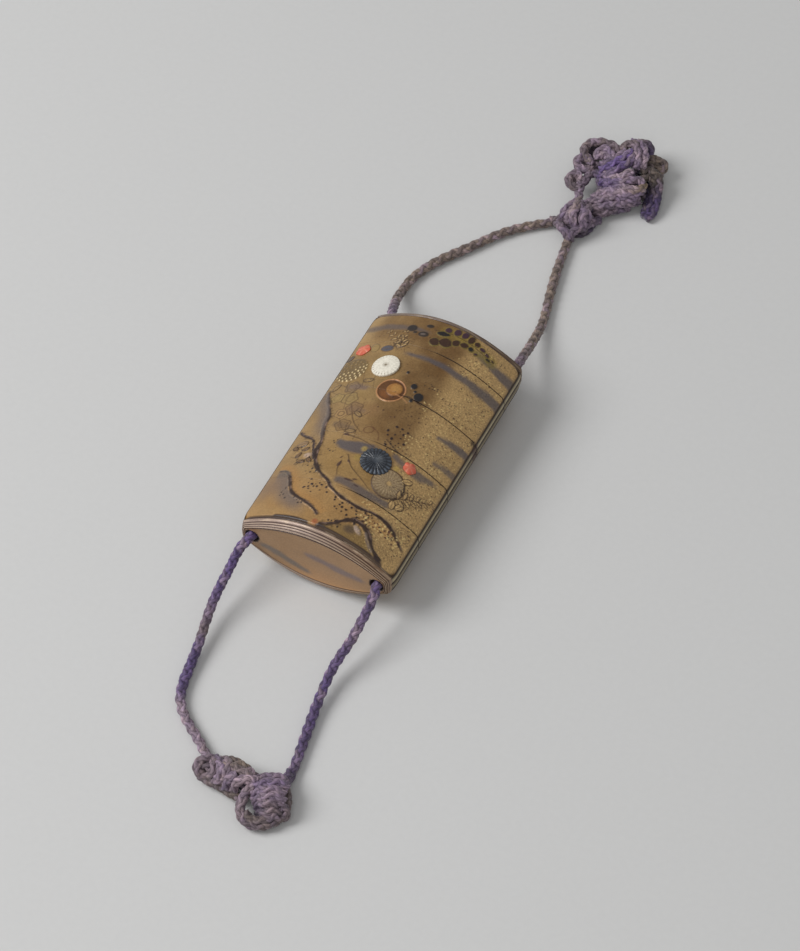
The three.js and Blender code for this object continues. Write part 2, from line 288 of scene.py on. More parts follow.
def makeSilk():
    look = silkLook
    material, tree, shader, place = newMaterial("silkCord", look["rough"])
    paint = node(tree, "Attribute", attribute_name="paint").outputs["Color"]
    fibre = node(tree, "Attribute", attribute_name="fibre").outputs["Vector"]
    stretch = node(tree, "Mapping", vector_type="POINT", Scale=look["threads"])
    tree.links.new(fibre, stretch.inputs["Vector"])
    threads = noise(tree, stretch.outputs["Vector"], 1.0, 3.0, 0.6)
    faded = ramp(tree, noise(tree, place, look["wornPerMm"] / mm, 2.0), 0.42, 0.62)
    shaded = shadeBy(tree, paint, ramp(tree, threads, 0.3, 0.7), *look["thread"])
    tree.links.new(shadeBy(tree, shaded, faded, *look["worn"]), shader.inputs["Base Color"])
    shader.inputs["Sheen Weight"].default_value = look["sheen"]
    shader.inputs["Sheen Roughness"].default_value = look["sheenRough"]
    addBump(tree, shader, threads, look["bump"], look["bumpDepth"])
    return material


inlayLooks = {
    "whiteInlay": {"rough": 0.42, "coat": 0.1, "grainPerMm": 1.6, "depth": 0.03},
    "darkInlay": {"rough": 0.36, "coat": 0.2, "grainPerMm": 1.2, "depth": 0.03},
    "coralInlay": {"rough": 0.5, "coat": 0.1, "grainPerMm": 1.0, "depth": 0.02},
}


def makeInlay(name):
    look = inlayLooks[name]
    material, tree, shader, place = newMaterial(name, look["rough"])
    paint = node(tree, "Attribute", attribute_name="paint").outputs["Color"]
    grain = noise(tree, place, look["grainPerMm"] / mm, 4.0, 0.6)
    shaded = shadeBy(tree, paint, ramp(tree, grain, 0.3, 0.7), (0.86, 0.85, 0.83), (1.08, 1.07, 1.06))
    tree.links.new(shaded, shader.inputs["Base Color"])
    shader.inputs["Coat Weight"].default_value = look["coat"]
    addBump(tree, shader, grain, 0.3, look["depth"])
    return material


goldLacquer = makeLacquer()
silkCord = makeSilk()
whiteInlay, darkInlay, coralInlay = [makeInlay(name) for name in inlayLooks]
print("materials made")


def finishPiece(obj, material, nodeName):
    obj.data.materials.append(material)
    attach(obj, "root")
    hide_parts(nodeName)
    return obj


braid = {
    "diameter": 2.9,
    "strands": 6,
    "strand": 0.64,  # radius of one strand
    "reach": 0.66,  # how far from the middle of the cord a strand runs
    "weave": 0.14,  # how far it goes in and out as it crosses the others
    "lay": 9.6,  # length in which a strand goes once round
    "core": 0.5,  # radius between the strands
    "columns": 32,
    "step": 0.28,
    "shade": [1.06, 0.8, 1.24, 0.9, 1.14, 0.84],  # of each strand
    "gapShade": 0.28,  # how much light is left between the strands
}
violet = tone(104, 85, 134)
mauve = tone(150, 132, 146)
brown = tone(132, 117, 108)


def framesAlong(line):
    # direction and two square directions at each point, turning as little as they can
    along = np.gradient(line, axis=0)
    along /= np.linalg.norm(along, axis=1)[:, None]
    up = np.array([0.0, 0, 1]) if abs(along[0][2]) < 0.9 else np.array([1.0, 0, 0])
    side = np.cross(along[0], up)
    sides = [side / np.linalg.norm(side)]
    for way in along[1:]:
        side = sides[-1] - way * np.dot(sides[-1], way)
        sides.append(side / np.linalg.norm(side))
    sides = np.array(sides)
    return along, sides, np.cross(along, sides)


def braidSkin(run, angle, turn):
    # how far the braid's surface stands from the middle of the cord, at a place along it and round it
    reach, second, across, strandAt = (np.zeros_like(angle) for _ in range(4))
    half = braid["strands"] // 2
    for k in range(braid["strands"]):
        way = 1 if k < half else -1
        place = way * turn * run + 2 * math.pi / half * k
        off = braid["reach"] + way * braid["weave"] * np.cos(half * turn * run)
        gap = np.arctan2(np.sin(angle - place), np.cos(angle - place))
        inside = braid["strand"] ** 2 - (off * np.sin(gap)) ** 2
        hit = off * np.cos(gap) + np.sqrt(np.maximum(inside, 0))
        hit = np.where((inside > 0) & (np.cos(gap) > 0), hit, braid["core"])
        better = hit > reach
        second = np.where(better, reach, np.maximum(second, hit))
        across = np.where(better, off * np.sin(gap), across)
        strandAt = np.where(better, k, strandAt)
        reach = np.where(better, hit, reach)
    return reach, reach - second, across, strandAt


def braidTube(line, size=1.0, phase=0.0):
    # points, faces and looks of a braid laid along a line
    _, side, upward = framesAlong(line)
    columns = braid["columns"]
    runs = np.repeat(runAlong(line)[:, None], columns, 1)
    angle = np.linspace(0, 2 * math.pi, columns, endpoint=False)[None, :] + phase
    angle = np.repeat(angle, len(line), 0)
    reach, crest, across, strandAt = braidSkin(runs, angle, 2 * math.pi / braid["lay"] / size)
    reach = reach * size * (0.93 + 0.1 * patchy(runs / 7.0, 0, 1.0, 23))
    points = (
        line[:, None, :]
        + side[:, None, :] * (reach * np.cos(angle))[:, :, None]
        + upward[:, None, :] * (reach * np.sin(angle))[:, :, None]
    ).reshape(-1, 3)
    points[:, 2] = np.maximum(points[:, 2], floorGap)
    faces = gridFaces(len(line), columns)
    faces.append(list(range(columns))[::-1])
    faces.append(list(range(len(points) - columns, len(points))))
    looks = {
        "crest": ease(0.0, 0.22, crest).ravel(),
        "run": runs.ravel(),
        "strandAt": strandAt.ravel(),
        "fibre": np.stack([across.ravel(), runs.ravel(), strandAt.ravel() * 7.3 + phase], 1),
    }
    return points, faces, looks


def cordColour(looks, shades):
    # shades: [share of the length, colour], with painted shade in the gaps between the strands
    run, strandAt = looks["run"], looks["strandAt"]
    stops, tints = zip(*shades)
    share = run / run.max()
    colour = np.stack([np.interp(share, stops, channel) for channel in np.array(tints).T], 1)
    lift = np.array(braid["shade"])[strandAt.astype(int)]
    lift = lift * (0.84 + 0.32 * patchy(run, strandAt * 5.0, 3.1, 9))
    faded = (strandAt % 3 == 2) * 0.7 * patchy(run / 4, strandAt * 9.0, 1.0, 31)
    colour = colour + (mauve * 1.05 - colour) * faded[:, None]
    # painted shade between the strands, full colour on their crests
    depth = braid["gapShade"] + (1 - braid["gapShade"]) * looks["crest"]
    return colour * (lift * depth)[:, None]


caseShape = {
    "halfWidth": 21.2,
    "rise": 8.45,  # of the dome over the side bands, front and back alike
    "bandHalf": 2.6,
    "panelLift": 0.45,
    "panelSlope": 0.4,
    "panelHalfWidth": 21.02,
    "panelHalfLength": 37.3,
    "panelCorner": 1.8,
    "panelGroove": 0.32,
    "grooveEnd": 37.5,  # where the panel's groove ends and the moulding begins
    "endY": 39.6,
    "endPlateDrop": 0.12,
    "middleZ": 11.339,
    "seams": [26.8, 10.1, -6.6, -23.3],
    "gap": 0.1,
    "seamWear": 0.12,  # how far the edges of a seam are rounded down
    "rowStep": 0.2,
    "frontColumns": 236,
    "backColumns": 110,
}
sideBand = {
    "fillet": [(21.1, 2.84), (21.12, 2.62), (21.04, 2.46), (20.96, 2.36)],
    "beadX": 20.98,
    "beadOut": 0.36,
    "beadZ": 1.2,
    "beadHalf": 1.1,
    "beadSteps": 9,
    "grooveX": 20.9,
    "plainX": 20.82,  # without its beads, round the ends
    "plainOut": 0.52,
}
moulding = {
    "length": 2.1,
    "inset": 3.1,
    "sideInset": 1.2,
    "rows": 72,
    "roll": 0.4,  # share of the way taken by the wide roll
    "ridge": 0.19,  # and by each ridge after it
    "depth": 0.26,
}
inside = {
    "halfWidth": 15.7,
    "mouthWall": 1.0,
    "socketWall": 1.1,
    "riserWall": 1.4,
    "hollowWall": 2.3,
    "riserHeight": 4.3,
    "socketDepth": 4.6,
    "floorWall": 1.3,
    "endY": 37.4,
    "channelX": 17.55,
    "channelRadius": 1.85,
    "channelLip": 0.12,
}
midZ = caseShape["middleZ"]
front, right, back, left = range(4)  # the four zones of a ring round the case
skin, channels, hollow, endFace = range(4)  # and the four of a whole piece


def arch(x):
    return caseShape["rise"] * (1 - (np.asarray(x) / caseShape["halfWidth"]) ** 2)


def panelEdge(x, y):
    # distance outside the raised panel's rounded outline, negative inside it
    corner = caseShape["panelCorner"]
    acrossX = np.abs(x) - (caseShape["panelHalfWidth"] - corner)
    acrossY = np.abs(y) - (caseShape["panelHalfLength"] - corner)
    outside = np.hypot(np.maximum(acrossX, 0), np.maximum(acrossY, 0))
    return outside + np.minimum(np.maximum(acrossX, acrossY), 0) - corner


def sideProfile():
    # from the front's edge to the back's: a fillet, two beads with a groove between, a fillet
    half = list(sideBand["fillet"])
    for k in range(sideBand["beadSteps"]):
        turn = math.pi * (k + 0.5) / sideBand["beadSteps"]
        x = sideBand["beadX"] + sideBand["beadOut"] * math.sin(turn)
        half.append((x, sideBand["beadZ"] + sideBand["beadHalf"] * math.cos(turn)))
    return np.array(half + [(sideBand["grooveX"], 0.0)] + [(x, -z) for x, z in half[::-1]])


def ringColumns():
    edge, band = caseShape["panelHalfWidth"], caseShape["bandHalf"]
    frontX = np.linspace(-edge, edge, caseShape["frontColumns"])
    backX = np.linspace(edge, -edge, caseShape["backColumns"])
    side = sideProfile()
    x = np.concatenate([frontX, side[:, 0], backX, -side[::-1, 0]])
    z = np.concatenate([band + arch(frontX), side[:, 1], -band - arch(backX), side[::-1, 1]])
    return x, z, np.repeat([front, right, back, left], [len(frontX), len(side), len(backX), len(side)])


columnX, columnZ, columnZone = ringColumns()


def ribWave(share):
    # 1 on the crest of the roll and of the three ridges, 0 in the grooves between them
    if share < moulding["roll"]:
        return 1 - abs(share / moulding["roll"] * 2 - 1) ** 2.6
    return max(0.0, 1 - abs(((share - moulding["roll"]) / moulding["ridge"]) % 1 * 2 - 1) ** 1.8)


def mouldingRows(end):
    # a roll and three fine ridges round the end, as (y, inset, share of the way to the end)
    length, depth = moulding["length"], moulding["inset"]
    rows = []
    for share in np.linspace(0, 1, moulding["rows"]):
        turn = share * math.pi / 2
        dip = moulding["depth"] * (1 - ribWave(share)) * (1 - ease(0.97, 1.0, share))
        outward = np.array([math.sin(turn) / length, math.cos(turn) / depth])
        outward *= dip / np.linalg.norm(outward)
        y = caseShape["endY"] - length * (1 - math.sin(turn)) - outward[0]
        inset = depth * (1 - math.cos(turn)) + outward[1]
        rows.append((end * y, min(inset, depth + 0.05), share))
    return rows


def bodyRows(low, high):
    count = int(round((high - low) / caseShape["rowStep"]))
    ys = np.linspace(low, high, count + 1)
    ys = np.concatenate([[low], [low + 0.07], ys[1:-1], [high - 0.07], [high]])
    insets = np.zeros(len(ys))
    insets[0] = insets[-1] = caseShape["seamWear"]
    return [(y, inset, -1.0) for y, inset in zip(ys, insets)]


def ringAt(y, inset, share):
    # one ring of the skin; share is below 0 between the mouldings
    narrow = 0.3 * max(0.0, min(1.0, (abs(y) - 35) / 2.4)) ** 2
    narrow += inset / moulding["inset"] * moulding["sideInset"]
    bulge = np.sqrt(np.clip(1 - (columnZ / sideBand["fillet"][0][1]) ** 2, 0, 1))
    plain = np.sign(columnX) * (sideBand["plainX"] + sideBand["plainOut"] * bulge)
    x = columnX + (plain - columnX) * (ease(0.1, 0.5, share) * (columnZone % 2))
    x = x * (1 - narrow / caseShape["halfWidth"])
    z = columnZ * (1 - inset / (caseShape["bandHalf"] + caseShape["rise"]))
    outside = panelEdge(columnX, y)
    lift = caseShape["panelLift"] * (1 - ease(-caseShape["panelSlope"], 0.0, outside))
    z = z + lift * ((columnZone == front) * 1.0 - (columnZone == back))
    if share < 0 and abs(y) <= caseShape["grooveEnd"]:
        z = z - np.sign(z) * caseShape["panelGroove"] * ease(-0.05, 0.15, outside) * (columnZone % 2 == 0)
    return np.stack([x, np.full(len(x), y), midZ + z], 1)


class Shell:
    # gathers rings of points and the faces between them
    def __init__(self):
        self.points, self.faces, self.zones = [], [], []

    def add(self, points, zone):
        first = len(self.points)
        self.points += [tuple(p) for p in points]
        self.zones += [zone] * len(points)
        return list(range(first, first + len(points)))

    def band(self, ringA, ringB):
        count = len(ringA)
        for j in range(count):
            k = (j + 1) % count
            self.faces.append([ringA[j], ringA[k], ringB[k], ringB[j]])

    def bands(self, rings):
        for ringA, ringB in zip(rings[:-1], rings[1:]):
            self.band(ringA, ringB)

    def plate(self, outer, holes, up, zone, spacing=None):
        # a flat face between one outer ring and its holes, facing +y when up
        loops = [outer] + holes
        ids = [v for loop in loops for v in loop]
        edges, start = [], 0
        for loop in loops:
            edges += [(start + j, start + (j + 1) % len(loop)) for j in range(len(loop))]
            start += len(loop)
        shapes = [np.array([self.points[v] for v in loop])[:, [0, 2]] for loop in loops]
        flat = np.vstack(shapes)
        if spacing:
            extra = self.fillOf(shapes, spacing)
            y = self.points[outer[0]][1]
            ids += self.add([(x, y, z) for x, z in extra], zone)
            flat = np.vstack([flat, extra])
        made = delaunay_2d_cdt([Vector(p) for p in flat], edges, [], 0, 1e-6)
        corner = [source[0] if source else -1 for source in made[3]]
        spots = np.array([tuple(v) for v in made[0]])
        tris = np.array([f for f in made[2] if len(f) == 3])
        for tri in tris[inShapes(spots[tris].mean(1), shapes)]:
            (ax, az), (bx, bz), (cx, cz) = spots[tri]
            if (bx - ax) * (cz - az) - (bz - az) * (cx - ax) < 0:
                tri = tri[::-1]
            face = [ids[corner[v]] for v in tri]
            self.faces.append(face[::-1] if up else face)

    def fillOf(self, shapes, spacing):
        # an even grid of points inside a plate, clear of its edges
        low, high = shapes[0].min(0), shapes[0].max(0)
        x, z = np.meshgrid(np.arange(low[0], high[0], spacing), np.arange(low[1], high[1], spacing))
        grid = np.stack([x.ravel(), z.ravel()], 1)
        grid = grid[inShapes(grid, shapes)]
        near = np.min(np.linalg.norm(grid[:, None] - np.vstack(shapes)[None], axis=2), axis=1)
        return grid[near > spacing * 0.45]


def insidePolygon(points, polygon):
    found = np.zeros(len(points), bool)
    x, y = points[:, 0], points[:, 1]
    for (ax, ay), (bx, by) in zip(polygon, np.roll(polygon, -1, 0)):
        crosses = (ay > y) != (by > y)
        with np.errstate(divide="ignore", invalid="ignore"):
            found ^= crosses & (x < (bx - ax) * (y - ay) / (by - ay) + ax)
    return found


def inShapes(points, shapes):
    # inside the first shape and outside the others
    keep = insidePolygon(points, shapes[0])
    for shape in shapes[1:]:
        keep &= ~insidePolygon(points, shape)
    return keep


def lensRing(wall, y):
    half = inside["halfWidth"] - wall
    across = np.linspace(-half, half, 30)
    z = caseShape["bandHalf"] + arch(across) + caseShape["panelLift"] - wall
    edge = np.linspace(z[-1], -z[-1], 6)[1:-1]
    ring = [(x, y, midZ + h) for x, h in zip(across, z)]
    ring += [(half, y, midZ + h) for h in edge]
    ring += [(x, y, midZ - h) for x, h in zip(across[::-1], z)]
    ring += [(-half, y, midZ - h) for h in edge]
    return ring


def holeRing(x, y, radius):
    turns = np.linspace(0, 2 * math.pi, 24, endpoint=False)
    return [(x + radius * math.sin(t), y, midZ + radius * math.cos(t)) for t in turns]


def addSkin(shell, low, high, riser, socket):
    edge = caseShape["grooveEnd"]
    rows = bodyRows(max(low, -edge), min(high, edge))
    if not socket:
        rows = mouldingRows(-1)[::-1] + rows[2:]
    if not riser:
        rows = rows[:-2] + mouldingRows(1)
    rings = np.array([ringAt(*row) for row in rows])
    # on the left of the front the seams have worn shut
    worn = (columnZone == front) * (1 - ease(-3, 3, columnX))
    for row, inner, way in ((0, 2, -1), (-1, -3, 1)):
        if rows[row][2] < 0 and abs(rows[row][0]) < 36:
            rings[row, :, 2] += (rings[inner, :, 2] - rings[row, :, 2]) * worn
            rings[row, :, 1] += way * 0.045 * worn
    count = len(columnX)
    shell.skinCount = count * len(rows)
    shell.shares = np.repeat([share for _, _, share in rows], count)
    shell.skinZone = np.tile(columnZone, len(rows))
    points = shell.add(rings.reshape(-1, 3), skin)
    rings = [points[k * count : (k + 1) * count] for k in range(len(rows))]
    shell.bands(rings)
    return rings[0], rings[-1]


def addChannels(shell, low, high, riser, socket):
    # the two cord channels, from end to end; gives the rings round their mouths
    radius, lip = inside["channelRadius"], inside["channelLip"]
    mouths, walls = {}, {}
    for end, y, plain in ((-1, low, not socket), (1, high, not riser)):
        at = y - end * caseShape["endPlateDrop"] if plain else y
        mouths[end], walls[end] = [], []
        for x in (-inside["channelX"], inside["channelX"]):
            mouths[end].append(shell.add(holeRing(x, at, radius + lip), channels))
            walls[end].append(shell.add(holeRing(x, at - end * 0.15, radius), channels))
            pair = [mouths[end][-1], walls[end][-1]]
            shell.band(*pair[::end])
    for upper, lower in zip(walls[1], walls[-1]):
        shell.band(upper, lower)
    return mouths


def caseShell(low, high, riser, socket):
    # riser: its own riser plugs into the piece above; socket: it takes the riser of the one below
    shell = Shell()
    lowRing, highRing = addSkin(shell, low, high, riser, socket)
    mouths = addChannels(shell, low, high, riser, socket)
    wall, deep, step = inside["socketWall"], inside["hollowWall"], low + inside["socketDepth"]
    if socket:
        mouth = shell.add(lensRing(inside["mouthWall"], low), channels)
        rings = [shell.add(lensRing(wall, y), hollow) for y in (low + 0.12, step)]
        if not riser:
            rings += [shell.add(lensRing(deep, y), hollow) for y in (step, inside["endY"])]
        shell.bands(rings[::-1] + [mouth])
        shell.plate(rings[-1], [], False, hollow)
        shell.plate(lowRing, [mouth] + mouths[-1], False, channels)
    else:
        endPlate(shell, lowRing, -1, mouths[-1])
    if riser:
        floor = step + inside["floorWall"] if socket else -inside["endY"]
        top, outer = high + inside["riserHeight"], inside["riserWall"]
        steps = [(outer, high), (outer, top - 0.18), (outer + 0.18, top)]
        steps += [(deep - 0.16, top), (deep, top - 0.16), (deep, floor)]
        rings = [shell.add(lensRing(*place), hollow) for place in steps]
        shell.bands(rings)
        shell.plate(rings[-1], [], True, hollow)
        shell.plate(highRing, [rings[0]] + mouths[1], True, channels)
    else:
        endPlate(shell, highRing, 1, mouths[1])
    return shell


def endPlate(shell, ring, end, holes):
    # the end face, set a little below the last ridge
    edge = np.array([shell.points[v] for v in ring])
    middle = np.array([0, edge[0, 1], midZ])
    inner = middle + (edge - middle) * [0.992, 1, 0.985] - [0, end * caseShape["endPlateDrop"], 0]
    pair = [ring, shell.add(inner, endFace)]
    shell.band(*pair[::end])
    shell.plate(pair[1], holes, end > 0, endFace, spacing=0.5)


tones = {
    "ground": tone(162, 129, 82),
    "brown": tone(98, 64, 18),
    "redBrown": tone(124, 80, 50),
    "olive": tone(142, 116, 68),
    "pale": tone(206, 172, 118),
    "shade": tone(114, 88, 58),
    "haze": tone(92, 86, 90),
    "hazeRed": tone(116, 98, 100),
    "hazeBrown": tone(122, 100, 86),
    "hazeDeep": tone(106, 90, 78),
    "hazeGrey": tone(112, 106, 102),
    "hazeMauve": tone(120, 108, 112),
    "rockGrey": tone(120, 106, 98),
    "rockLine": tone(40, 21, 20),
    "rockEdge": tone(150, 122, 108),
    "rockTuft": tone(104, 96, 88),
    "rockWash": tone(128, 106, 90),
    "rockDeep": tone(84, 70, 62),
    "rockPale": tone(184, 162, 148),
    "orange": tone(178, 132, 76),
    "endOrange": tone(204, 154, 104),
    "rust": tone(168, 92, 58),
    "ink": tone(34, 22, 22),
    "dot": tone(40, 20, 18),
    "dotBrown": tone(72, 44, 26),
    "dotRed": tone(84, 50, 40),
    "berry": tone(30, 26, 28),
    "line": tone(64, 44, 32),
    "lineRed": tone(92, 52, 34),
    "moss": tone(146, 126, 44),
    "leafLine": tone(122, 106, 48),
    "leafViolet": tone(70, 44, 58),
    "leafBrown": tone(66, 42, 28),
    "leafInk": tone(66, 42, 42),
    "leafTan": tone(140, 108, 72),
    "leafSand": tone(158, 128, 92),
    "leafGrey": tone(92, 90, 98),
    "leafHaze": tone(116, 104, 92),
    "blossom": tone(190, 164, 144),
    "beadGround": tone(112, 92, 60),
    "bead": tone(158, 132, 88),
    "beadBright": tone(222, 200, 150),
    "bud": tone(164, 138, 88),
    "disc": tone(146, 124, 94),
    "discRay": tone(188, 166, 132),
    "discShade": tone(104, 84, 62),
    "gold": tone(232, 204, 142),
    "yellow": tone(190, 162, 84),
    "amber": tone(168, 116, 58),
    "amberDeep": tone(98, 58, 26),
    "amberSoft": tone(146, 112, 56),
    "amberGlow": tone(150, 92, 44),
    "amberPale": tone(190, 144, 80),
    "copper": tone(196, 142, 96),
    "rib": tone(168, 146, 134),
    "ribWarm": tone(140, 112, 88),
    "ribHighlight": tone(226, 204, 176),
    "ribShade": tone(66, 42, 38),
    "sideBead": tone(216, 200, 160),
    "sideChip": tone(70, 38, 34),
    "seam": tone(40, 26, 20),
    "edgeStain": tone(44, 24, 20),
    "edge": tone(56, 42, 34),
    "endTan": tone(172, 137, 101),
    "inside": tone(112, 78, 44),
}


class Canvas:
    # colour, height and finish at points of a face, x across it and y along the case
    def __init__(self, x, y, ground):
        self.x, self.y = x, y
        self.colour = np.tile(ground, (len(x), 1))
        self.height = np.zeros(len(x))
        self.metal = np.full(len(x), lacquerLook["metal"])
        self.flake = np.full(len(x), 0.2)

    def lay(self, share, colour, raised=0.0, metal=None):
        # given a metal value, the place loses its flakes too
        share = np.clip(share, 0, 1)
        self.colour += (colour - self.colour) * share[:, None]
        self.height = self.height + raised * share
        if metal is not None:
            self.dull(share, metal)

    def dull(self, share, metal=0.0):
        self.metal = self.metal + (metal - self.metal) * share
        self.flake = self.flake * (1 - share)

    def layAt(self, near, share, colour):
        self.colour[near] += (colour - self.colour[near]) * share[:, None]

    def near(self, points, reach):
        points = np.asarray(points, float)
        low, high = points.min(0) - reach, points.max(0) + reach
        inX = (self.x > low[0]) & (self.x < high[0])
        return np.nonzero(inX & (self.y > low[1]) & (self.y < high[1]))[0]

    def turned(self, x, y, turn, tall, picked=slice(None)):
        # places seen from x, y along a turned and squeezed pair of axes
        c, s = math.cos(math.radians(turn)), math.sin(math.radians(turn))
        dx, dy = self.x[picked] - x, self.y[picked] - y
        return dx * c + dy * s, (-dx * s + dy * c) / tall

    def lineField(self, points, reach, smooth=True):
        # for points near a line: distance to it, side of it (left is +), share of its length
        line = curveThrough(points, 0.5) if smooth and len(points) > 2 else np.asarray(points, float)
        picked = self.near(line, reach)
        fields = np.full(len(self.x), 99.0), np.zeros(len(self.x)), np.zeros(len(self.x))
        px, py = self.x[picked], self.y[picked]
        best, side, share = np.full(len(picked), 99.0), np.zeros(len(picked)), np.zeros(len(picked))
        for k, (a, b) in enumerate(zip(line[:-1], line[1:])):
            dx, dy = b - a
            t = np.clip(((px - a[0]) * dx + (py - a[1]) * dy) / (dx * dx + dy * dy + 1e-12), 0, 1)
            gap = np.hypot(px - a[0] - t * dx, py - a[1] - t * dy)
            closer = gap < best
            best = np.where(closer, gap, best)
            side = np.where(closer, np.sign(dx * (py - a[1]) - dy * (px - a[0])), side)
            share = np.where(closer, (k + t) / (len(line) - 1), share)
        for field, values in zip(fields, (best, side, share)):
            field[picked] = values
        return fields

    def stroke(self, points, width, colour, raised=0.0, strength=1.0, soft=0.1, taper=0.0, metal=None):
        distance, _, share = self.lineField(points, width + soft + 0.3)
        half = width / 2 * (1 - taper * share)
        self.lay(strength * (1 - ease(half - soft, half + soft, distance)), colour, raised, metal)

    def spot(self, x, y, radius, colour, raised=0.0, strength=1.0, soft=0.12, tall=1.0, turn=0, metal=None):
        away = np.hypot(*self.turned(x, y, turn, tall))
        self.lay(strength * (1 - ease(radius - soft, radius + soft, away)), colour, raised, metal)

    def ring(self, x, y, radius, width, colour, raised=0.0, strength=1.0, tall=1.0, turn=0):
        away = np.abs(np.hypot(*self.turned(x, y, turn, tall)) - radius)
        self.lay(strength * (1 - ease(width / 2 - 0.08, width / 2 + 0.1, away)), colour, raised)

    def haze(self, points, widths, colour, strength, seed):
        # a soft band of mist with ragged ends
        distance, _, share = self.lineField(points, 6.0)
        width = np.interp(share, np.linspace(0, 1, len(widths)), widths)
        ragged = (cloudy(self.x * 0.5, self.y * 1.6, 1.5, seed) - 0.5) * 0.9
        cover = 1 - ease(-0.5, 0.75, distance - width + ragged)
        cover = cover * ease(0, 0.1, share) * (1 - ease(0.94, 1.0, share) * 0.6)
        self.lay(cover * strength, colour)
        self.flake = self.flake * (1 - 0.5 * cover)

    def region(self, polygon, colour, strength, soft):
        line = curveThrough(polygon, 0.5, closed=True)
        distance, _, _ = self.lineField(np.vstack([line, line[:1]]), 6.0, smooth=False)
        found = insidePolygon(np.stack([self.x, self.y], 1), line)
        self.lay(strength * (1 - ease(-soft, soft, np.where(found, -distance, distance))), colour)


def paintMist(canvas, bands):
    for points, widths, named, strength, seed in bands:
        canvas.haze(points, widths, tones[named], strength, seed)


def paintRock(canvas, points, width, raised, seed):
    # a ridge of rock: a broken dark line, with a paler edge along its upper side
    distance, side, share = canvas.lineField(points, 5.0)
    wide = width * (0.55 + 0.75 * patchy(share * 40, 0, 1.6, seed))
    signed = distance * side + 0.22 * (patchy(canvas.x, canvas.y, 0.8, seed + 20) - 0.5)
    body = 1 - ease(wide * 0.4, wide * 0.62, distance)
    fade = ease(0, 0.03, share) * (1 - ease(0.97, 1, share))
    canvas.height += raised * np.sqrt(np.clip(1 - (distance / (wide * 0.75)) ** 2, 0, 1)) * fade
    canvas.lay(body * fade * 0.95, tones["rockLine"])
    top = ease(wide * 0.02, wide * 0.2, signed) * (1 - ease(wide * 0.34, wide * 0.5, distance))
    top *= ease(0.35, 0.8, patchy(canvas.x, canvas.y, 1.3, seed + 30))
    canvas.lay(top * fade * 0.7, tones["rockEdge"])
    rough = (1 - ease(wide * 0.5, wide * 1.5, distance)) * fade
    rough *= ease(0.45, 0.8, patchy(canvas.x * 2, canvas.y * 2, 0.8, seed + 40))
    canvas.lay(0.6 * rough, tones["rockLine"])
    canvas.dull(body * fade * 0.9)
    return signed, distance, fade


def scatter(count, low, high, seed):
    return np.random.default_rng(seed).uniform(low, high, (count, 2))


def paintDots(canvas, spots, radii, colour, raised, metal, seed):
    picks = np.random.default_rng(seed)
    for x, y in spots:
        radius, _, tall = picks.uniform((radii[0], 0, 0.8), (radii[1], 180, 1.3))
        near = canvas.near([(x, y)], radius * 2)
        away = np.hypot(canvas.x[near] - x, (canvas.y[near] - y) / tall)
        cover = 1 - ease(radius - 0.1, radius + 0.1, away)
        canvas.layAt(near, cover, colour)
        canvas.height[near] += raised * cover
        canvas.metal[near] += (metal - canvas.metal[near]) * cover


def paintLeaf(canvas, x, y, length, width, turn, fill, outline, raised=0.12, vein=True, strength=1.0):
    near = canvas.near([(x, y)], length)
    u, v = canvas.turned(x, y, turn, width / length, near)
    u, v = u / (length / 2), v / (length / 2)
    shape = np.abs(v) - np.sqrt(np.clip(1 - np.abs(u) ** 1.6, 0, 1))
    shape = np.where(np.abs(u) > 1, np.abs(u) - 1 + 0.2, shape)
    edge = shape * width / 2
    within = 1 - ease(-0.12, 0.08, edge)
    thin = min(0.24, width * 0.22)
    border = 1 - ease(thin * 0.4, thin, np.abs(edge))
    canvas.layAt(near, strength * within, fill)
    canvas.metal[near] += (0.1 - canvas.metal[near]) * strength * within * 0.5
    canvas.height[near] += raised * within
    if outline is None:
        return
    canvas.layAt(near, 0.85 * border, outline)
    if vein:
        middle = (1 - ease(0.04, 0.16, np.abs(v * width / 2))) * within
        canvas.layAt(near, 0.7 * middle, outline)


def paintRoundLeaf(canvas, x, y, radius, wash):
    # a lobed leaf in thin line over a soft wash
    away = np.hypot(canvas.x - x, canvas.y - y)
    lobes = np.cos(5 * np.arctan2(canvas.y - y, canvas.x - x) + x)
    edge = radius * (1 + 0.1 * lobes)
    canvas.lay(0.5 * (1 - ease(-0.3, 0.5, away - edge)), wash, 0.08)
    canvas.lay(0.55 * (1 - ease(0.06, 0.2, np.abs(away - edge))), tones["line"])
    canvas.lay(0.3 * (1 - ease(0.05, 0.2, np.abs(away - edge * 0.55))), tones["line"])


def paintFrond(canvas, base, tip, pairs, length, width):
    # pairs of small leaves along a stem, smaller towards its tip
    dx, dy = tip[0] - base[0], tip[1] - base[1]
    along = math.degrees(math.atan2(dy, dx))
    for share in np.linspace(0, 1, pairs):
        for way in (-1, 1):
            turn = along + way * 62 * (1 - 0.22 * share)
            reach = length * (0.5 - 0.22 * share)
            x = base[0] + share * dx + reach * math.cos(math.radians(turn))
            y = base[1] + share * dy + reach * math.sin(math.radians(turn))
            long, wide = length * (1 - 0.5 * share), width * (1 - 0.43 * share)
            paintLeaf(canvas, x, y, long, wide, turn, tones["pale"], tones["line"], 0.14, False, 0.7)


